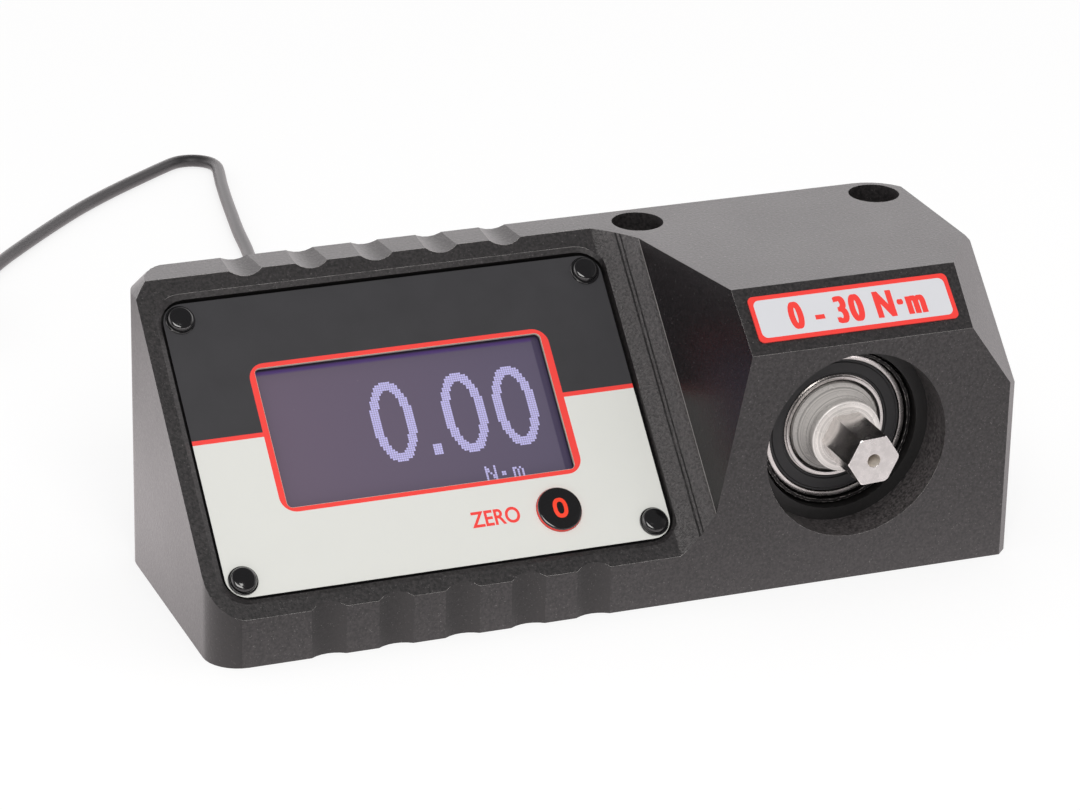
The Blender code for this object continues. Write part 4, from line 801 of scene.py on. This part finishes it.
def block_finish(index, point, normal):
    """Index of the finish at a face of the block that has the given index so far."""
    axis = DRIVE.translation
    in_opening = math.hypot(point.x - axis.x, point.z - axis.z) < OPENING_RADIUS + 0.00015
    depth = point.y - FRONT_FACE if in_opening else 0
    # The opening's depths and the pocket take the near-black finish: painted shade.
    if depth > 0.0080 or deep_inside(point):
        return BORE
    # The opening's front part takes a paler tone: painted light.
    if depth > 0.0006:
        return OPENING
    if index == PALE_EDGE and not highlight_and_wear_place(point):
        index = COAT
    # Hollow walls take painted shade and light.
    return HOLLOW if index == COAT and in_hollow(point, normal) else index


def housing():
    bm = copy_of("housing")
    for face in bm.faces:
        middle = face.calc_center_median()
        if on_ramp(middle, face.normal):
            face.material_index = RAMP
        elif on_cheek(middle, face.normal):
            face.material_index = CHEEK
    cheek_foot = []
    for edge in bm.edges:
        if sorted(face.material_index for face in edge.link_faces) == [RAMP, CHEEK]:
            cheek_foot.append([vertex.co.copy() for vertex in edge.verts])
    # The broken edges take the pale finish at the chosen places: painted highlight and wear.
    for face in break_edges(bm, EDGE_WIDTH, mark=PALE_EDGE).faces:
        face.material_index = block_finish(face.material_index, face.calc_center_median(), face.normal)
    finishes = [paint(), wear_and_highlight_edge(), bore_painted_shade(), ramp_skin_and_painted_shade()]
    # The cheek's darker tone is painted shade.
    finishes.append(paint("cheek_painted_shade", (0.0062, 0.0048, 0.0054), 0.25, 0.35, 1.47))
    # The opening's paler tone is painted light.
    finishes.append(paint("opening_painted_light", (0.052, 0.0475, 0.048), 0.40))
    # The hollows' darker tone is painted shade, with painted light where they face left.
    finishes.append(paint("hollow_painted_shade_and_light", (0.0040, 0.0036, 0.0037), 0.46, 0.7, 1.50, light_painted_facing_left=True))
    piece(
        "housing_shape", bm, finishes, "block",
        replaces=("housing",), smooth=30, level=True,
    )
    cheek_foot_highlight(cheek_foot)


def cheek_foot_highlight(edges):
    """A thin broken pale line up the foot of the cheek, one piece to an edge: a painted highlight."""
    width = 0.00009
    turn = SLOPE.to_3x3()
    corners = [Vector((0, 0, 0)), turn @ Vector((-width, 0, 0)), turn @ Vector((0, 0, width))]
    bm = bmesh.new()
    for low, high in edges:
        inset = (high - low).normalized() * width
        rings = [[bm.verts.new(end + spot) for spot in corners] for end in (low + inset, high - inset)]
        join_rings(bm, *rings)
    # Its pale finish is a painted highlight.
    finish = printed("foot_line", (0.20, 0.19, 0.185), 0.5, 0.6)
    piece("cheek_foot_highlight", bm, finish, "block", smooth=0)


def in_hollow(point, normal):
    """True on the walls of the hollows in the front."""
    upright = abs(normal.z) < 0.10 and normal.y < 0
    return upright and 0.0001 < point.y - FRONT_FACE < 0.0060 and point.z < HOLLOW_TOP


def on_cheek(point, normal):
    """True on the wall that stands between the ramp and the drive block."""
    return BLOCK_LEFT + 0.0060 < point.x < BLOCK_LEFT + 0.0300 and normal.x < -0.75 and normal.z > 0.05


def on_ramp(point, normal):
    """True on the ramp between the panel's pocket and the cheek."""
    local = SLOPE.inverted() @ point
    turned_normal = SLOPE.to_3x3().inverted() @ normal
    along = BLOCK_LEFT - 0.0020 < point.x < BLOCK_LEFT + 0.0090
    return along and turned_normal.x < -0.20 and turned_normal.z > 0.35 and abs(turned_normal.y) < 0.3


def deep_inside(point):
    """True in the panel's pocket and behind it."""
    local = SLOPE.inverted() @ point
    inside = [PANEL_LOW[i] - PANEL_MARGIN < local[i] < PANEL_HIGH[i] + PANEL_MARGIN for i in range(2)]
    return all(inside) and local.z < 0


def panel_corner(quarter):
    return round_corner(PANEL_LOW, PANEL_HIGH, PANEL_CORNER, quarter)


def frame_corner(quarter):
    return round_corner(FRAME_LOW, FRAME_HIGH, FRAME_CORNER, quarter)


def field_outline(line, first, second):
    """A field of the panel: out along a line, round two of the panel's corners and back round the frame's."""
    outer = panel_corner(first) + panel_corner(second)
    inner = frame_corner(second)[::-1] + frame_corner(first)[::-1]
    out = [(inner[-1][0], line), (outer[0][0], line)]
    back = [(outer[-1][0], line), (inner[0][0], line)]
    return out + outer + back + inner


def red_outline():
    """The display's frame and the line across the panel in one outline."""
    left, right = PANEL_LOW[0], PANEL_HIGH[0]
    outline = [(left, DIVIDER_HIGH), (left, DIVIDER_LOW), (FRAME_LOW[0], DIVIDER_LOW)]
    outline += frame_corner(2) + frame_corner(3) + [(FRAME_HIGH[0], DIVIDER_LOW), (right, DIVIDER_LOW)]
    outline += [(right, DIVIDER_HIGH), (FRAME_HIGH[0], DIVIDER_HIGH)] + frame_corner(0) + frame_corner(1)
    return outline + [(FRAME_LOW[0], DIVIDER_HIGH)]


def panel():
    softened("front_panel", [printed("panel_body", (0.016, 0.015, 0.016))], 0.00012)
    charcoal = printed("panel_charcoal", (0.037, 0.0365, 0.040), 0.42, 0.15)
    grey = printed("panel_grey", (0.70, 0.708, 0.672), 0.42, 0.012)
    red = printed("panel_red", RED, 0.40, 0.03)
    window = rounded_box(WINDOW_LOW, WINDOW_HIGH, WINDOW_CORNER)
    prints = [
        ("panel_upper_print", charcoal, [field_outline(DIVIDER_HIGH, 0, 1)]),
        ("panel_lower_print", grey, [field_outline(DIVIDER_LOW, 2, 3), circle(BUTTON, BUTTON_HOLE)]),
        ("panel_red_print", red, [red_outline(), window]),
    ]
    for name, ink, outlines in prints:
        piece(name, flat_shape(outlines, INK_FOOT, INK), ink, "block", SLOPE)
    low, high = [side + WINDOW_WALL for side in WINDOW_LOW], [side - WINDOW_WALL for side in WINDOW_HIGH]
    bm = flat_shape([window, rounded_box(low, high, WINDOW_CORNER - 0.0001)], -WINDOW_DEPTH, 0)
    piece("panel_window_edge", bm, printed("panel_core", (0.60, 0.55, 0.46)), "block", SLOPE)
    bm = lettering("ZERO", ZERO_LOW, ZERO_HIGH, (INK, INK_ON_INK), bold=0.020)
    piece("panel_zero_print", bm, red, "block", SLOPE)


def pixel_ring(width, height, stroke):
    """Lit pixels of a tall round zero, as columns and rows."""
    lit = []
    for i in range(width):
        for j in range(height):
            x, y = i + 0.5 - width / 2, j + 0.5 - height / 2
            outer = (abs(x) / (width / 2)) ** 2.1 + (abs(y) / (height / 2)) ** 2.1
            inner = (abs(x) / (width / 2 - stroke)) ** 2.1 + (abs(y) / (height / 2 - stroke)) ** 2.1
            if outer <= 1 < inner:
                lit.append((i, j))
    return lit


def pixels_of(rows):
    """Lit pixels of a figure that is written out row by row from its top, as columns and rows."""
    return [(i, j) for j, row in enumerate(reversed(rows)) for i, mark in enumerate(row) if mark == "1"]


def display():
    softened("display_glass", [screen()], 0.00012)
    pitch = 0.00048
    side, thickness = pitch * 0.87, 0.00003
    digit_foot, letter_foot = 0.02985, 0.0230
    letter_n = pixels_of(["1...1", "11..1", "11..1", "1.1.1", "1..11", "1..11", "1...1"])
    letter_m = pixels_of(["11.1.", "1.1.1", "1.1.1", "1.1.1", "1.1.1"])
    figures = [(left, digit_foot, pixel_ring(19, 37, 4)) for left in (0.0434, 0.0589, 0.0701)]
    figures += [(0.0645, letter_foot, letter_n), (0.0704, letter_foot, letter_m)]
    # The decimal point and the dot between the unit's letters
    figures += [(0.0549, 0.0303, pixels_of(["1111"] * 5)), (0.06793, 0.02388, pixels_of(["11"] * 2))]
    bm = bmesh.new()
    for left, foot, lit in figures:
        for i, j in lit:
            x, y = left + i * pitch, foot + j * pitch
            corners = [(x, y), (x + side, y), (x + side, y + side), (x, y + side)]
            under, over = [[bm.verts.new((*spot, z)) for spot in corners] for z in (GLASS, GLASS + thickness)]
            join_rings(bm, under, over)
    finish, tree, shader, place = new_material("lit_pixel", (0.49, 0.46, 0.78), 0.35)
    tint = noise_of(tree, place, size=0.0010)
    feed(shader, "Base Color", blend_of(tree, tint, (0.50, 0.47, 0.80), (0.56, 0.53, 0.88)))
    piece("display_digits", bm, finish, "block", SLOPE, smooth=0)


def button():
    turn_in, rim, crown = 0.0006, 0.0009, 0.0003
    stem, stem_foot = 0.0015, -0.00425
    flange, flange_foot, flange_top = 0.0058, -0.0026, -0.0018
    profile = [(0, stem_foot), (stem, stem_foot), (stem, flange_foot), (flange, flange_foot)]
    profile += [(flange, flange_top), (BUTTON_RADIUS, flange_top), (BUTTON_RADIUS, rim - turn_in)]
    shares = [1 - k / 12 for k in range(13)]
    bm = turned(profile + crowned(BUTTON_RADIUS, turn_in, rim, crown, range(15, 90, 15), shares), 80)
    for face in bm.faces:
        middle = face.calc_center_median()
        if middle.xy.length > BUTTON_RADIUS - 0.00012 and middle.z > flange_top + 0.0003:
            face.material_index = 1
    place = SLOPE @ Matrix.Translation((*BUTTON, 0))
    black = gloss("button_black", (0.0060, 0.0060, 0.0065), 0.08, 0.8)
    red = printed("button_red", RED)
    piece("zero_button_cap", bm, [black, red], "button", place, replaces=("zero_button",))
    ring = []
    for inset in (0, 0.00084):
        wide, tall = 0.00156 - inset, 0.00218 - inset
        outline = []
        for i in range(48):
            across, up = math.cos(2 * math.pi * i / 48), math.sin(2 * math.pi * i / 48)
            x, y = [math.copysign(abs(reach) ** 0.85, reach) for reach in (across, up)]
            outline.append((wide * x, tall * y))
        ring.append(outline)
    bm = flat_shape(ring, 0, 0.00005)
    for vertex in bm.verts:
        off = vertex.co.xy.length / (BUTTON_RADIUS - turn_in)
        vertex.co.z += rim + crown * (1 - off**2)
    red = printed("figure_red", (0.96, 0.050, 0.014))
    piece("zero_button_figure", bm, red, "button", place)


def rivets():
    black = gloss("rivet_black", (0.0055, 0.0055, 0.0060), 0.10, 0.8)
    head, dome, height, skirt = 0.0031, 0.0028, 0.0016, 0.00034
    seat, shoulder, crown, edge = 0.00008, 0.0010, 0.00018, 0.0001
    shank, tip, length, taper = 0.0015, 0.0010, 0.0050, 0.0008
    foot = seat - length
    profile = [(0, foot), (tip, foot), (shank, foot + taper), (shank, seat), (head, seat)]
    profile += [(head, seat + skirt - edge), (head - edge, seat + skirt), (dome, seat + skirt)]
    shares = (0.85, 0.70, 0.50, 0.30, 0.15, 0)
    profile += crowned(dome, shoulder, seat + height - crown, crown, range(0, 91, 10), shares)
    low, high = [side + RIVET_INSET for side in PANEL_LOW], [side - RIVET_INSET for side in PANEL_HIGH]
    for i, (x, y) in enumerate([(low[0], high[1]), low, (high[0], low[1]), high]):
        name = f"panel_rivet_{i + 1}"
        matrix = SLOPE @ Matrix.Translation((x, y, 0))
        piece(f"{name}_head", turned(profile, 56), black, "block", matrix, replaces=(name,))


def bearing():
    """The bearing in its sleeve; a profile's heights are depths behind the block's front face."""
    race_steel = metal("race_steel", (0.66, 0.635, 0.62), 0.27, rings=0.00010, depth=0.000002, low=0.93)
    black = metal("black_steel", (0.035, 0.034, 0.034), 0.42, rings=0.00016, depth=0.000012)
    seal_rubber = rubber("seal_rubber", (0.010, 0.010, 0.011), 0.50)
    front, back, edge, cut = 0.0107, 0.0177, 0.0004, 0.00012
    lip, step = 0.0001, 0.0002
    outside, inside = 0.0160, 0.01485
    profile = [(inside, front + lip), (inside + lip, front), (outside - edge, front)]
    profile += [(outside - cut, front + cut), (outside, front + edge), (outside, back), (inside, back)]
    piece(
        "bearing_outer_ring", turned(profile, 128, ring=True), race_steel, "block", DRIVE,
        replaces=("bearing_outer_race",),
    )
    bore, rim, groove = 0.0100, 0.0113, front + 0.0006
    profile = [(bore, front + edge), (bore + cut, front + cut), (bore + edge, front)]
    profile += [(rim - step - lip, front), (rim - step, front + lip), (rim - step, groove), (rim, groove)]
    profile += [(rim, back), (bore, back)]
    bm = turned(profile, 128, ring=True)
    # Faces next to the bore, near the front, take the black steel: painted shade in the gap by the spindle's
    # flare.
    for face in bm.faces:
        middle = face.calc_center_median()
        if middle.xy.length < bore + 0.00035 and middle.z < front + 0.0030:
            face.material_index = 1
    piece(
        "bearing_inner_ring", bm, [race_steel, black], "spindle", DRIVE,
        replaces=("bearing_inner_race",),
    )
    near = front + 0.0003
    far = near + 0.0008
    profile = [(rim + step, far), (rim + step, near + 0.0003), (rim + 0.0005, near + 0.0003)]
    profile += [(rim + 0.0007, near), (inside - 0.0008, near), (inside - 0.0006, near + step)]
    profile += [(inside - step, near + step), (inside - step, far)]
    piece(
        "bearing_front_seal", turned(profile, 128, ring=True), seal_rubber, "block", DRIVE,
        replaces=("bearing_seal_front",),
    )
    softened("bearing_sleeve", [black, rough_edge()], 0.00025, mark=1)


def spindle():
    turned_steel = metal("turned_steel", (1.0, 0.955, 0.92), 0.26, 0.00040, 0.000008, 0.20, 0.50)
    ground_steel = metal("ground_steel", (0.82, 0.795, 0.78), 0.22, depth=0.000001, low=0.90)
    hole_steel = metal("hole_steel", (0.80, 0.74, 0.67), 0.40, depth=0.00001, metallic=0.2)
    # The hexagon's root and just inside its tip, as depths behind the front face, and the radius of its hole
    root, inside_tip, hole = 0.0048, -0.0082, 0.00150
    bm = break_edges(copy_of("drive_spindle"), 0.00010, least=40)
    for face in bm.faces:
        local = DRIVE.inverted() @ face.calc_center_median()
        if local.z < root:
            face.material_index = 2 if local.xy.length < hole and local.z > inside_tip else 1
    piece(
        "drive_spindle_shape", bm, [turned_steel, ground_steel, hole_steel], "spindle",
        replaces=("drive_spindle",), level=True,
    )


def label():
    length, width, corner = 0.0449, 0.0105, 0.0012
    border, inner_corner = 0.00098, 0.0013
    top, thickness, ink = -0.00030, 0.00025, 0.00002
    red = printed("label_red", RED, 0.34, 0.02)
    face = printed("label_pale", (0.665, 0.675, 0.705), 0.36, 0.010)
    bm = flat_shape([rounded_box((0, 0), (length, width), corner)], top - thickness, top)
    piece("range_label_film", bm, red, "block", LABEL, replaces=("range_label",))
    outline = rounded_box((border, border), (length - border, width - border), inner_corner)
    piece("range_label_face", flat_shape([outline], top, top + ink), face, "block", LABEL)
    # Three strikes side by side, each a little over the last, give the heavy upright strokes
    left, right, foot, head = 0.0082, 0.0382, 0.0021, 0.0083
    for i, shift in enumerate((-0.00031, 0, 0.00031)):
        under = top + ink + 0.000004 * i
        low, high = (left + shift, foot), (right + shift, head)
        bm = lettering("0 - 30 N·m", low, high, (under, under + ink), bold=0.014, spacing=1.24)
        piece(f"range_label_figures_{i + 1}", bm, red, "block", LABEL, smooth=0)


def lead_fittings():
    """The plugs at the lead's ends and the tie round its coil."""
    plastic = rubber("moulded_plastic", (0.014, 0.014, 0.015), 0.36, 0.0005)
    for node, width in (("lead_plug", 0.00030), ("host_plug", 0.00030), ("lead_tie", 0.00015)):
        softened(node, [plastic], width)


def rest_of_nodes():
    """Finishes for the CAD nodes that show as they are."""
    steel = metal("plain_steel", (0.70, 0.69, 0.67), 0.26)
    black_metal = metal("dark_steel", (0.035, 0.034, 0.034), 0.38)
    plastic = bpy.data.materials["moulded_plastic"]
    board = circuit()
    seal = bpy.data.materials["seal_rubber"]
    sheath = bpy.data.materials["lead_sheath"]
    softened("lead_socket", [steel], 0.00008)
    for i in range(4):
        softened(f"transducer_screw_{i + 1}", [black_metal], 0.00010)
    starts = {
        "main_board": board,
        "display_board": board,
        "display_backlight": plastic,
        "gauge_socket": plastic,
        "gauge_lead": sheath,
        "lead_relief": plastic,
        "host_relief": plastic,
        "bearing_seal": seal,
        "bearing_sleeve": black_metal,
    }
    for name, node in frame["nodes"].items():
        finish = steel
        for start, found in starts.items():
            if name.startswith(start):
                finish = found
        node.data.materials.clear()
        node.data.materials.append(finish)


camera()
lead_fittings()
lead_piece, lead_exit = lead()

# Frames on the slope and on the label, and one on the drive's axis at the front face, its Z into the block
SLOPE = plane_frame("front_panel", (0, -1, 1)) @ Matrix.Translation((-PANEL_LOW[0], -PANEL_LOW[1], 0))
LABEL = plane_frame("range_label", (0, -1, 1))
spindle_low, spindle_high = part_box("drive_spindle")
FRONT_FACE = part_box("housing")[0].y
axis_place = ((spindle_low.x + spindle_high.x) / 2, FRONT_FACE, (spindle_low.z + spindle_high.z) / 2)
DRIVE = Matrix.Translation(axis_place) @ Matrix.Rotation(-math.pi / 2, 4, "X")

bpy.context.scene.view_settings.view_transform = "Standard"
surroundings()
key_lamp()
lay_bench()
housing()
panel()
display()
button()
rivets()
bearing()
spindle()
label()
rest_of_nodes()
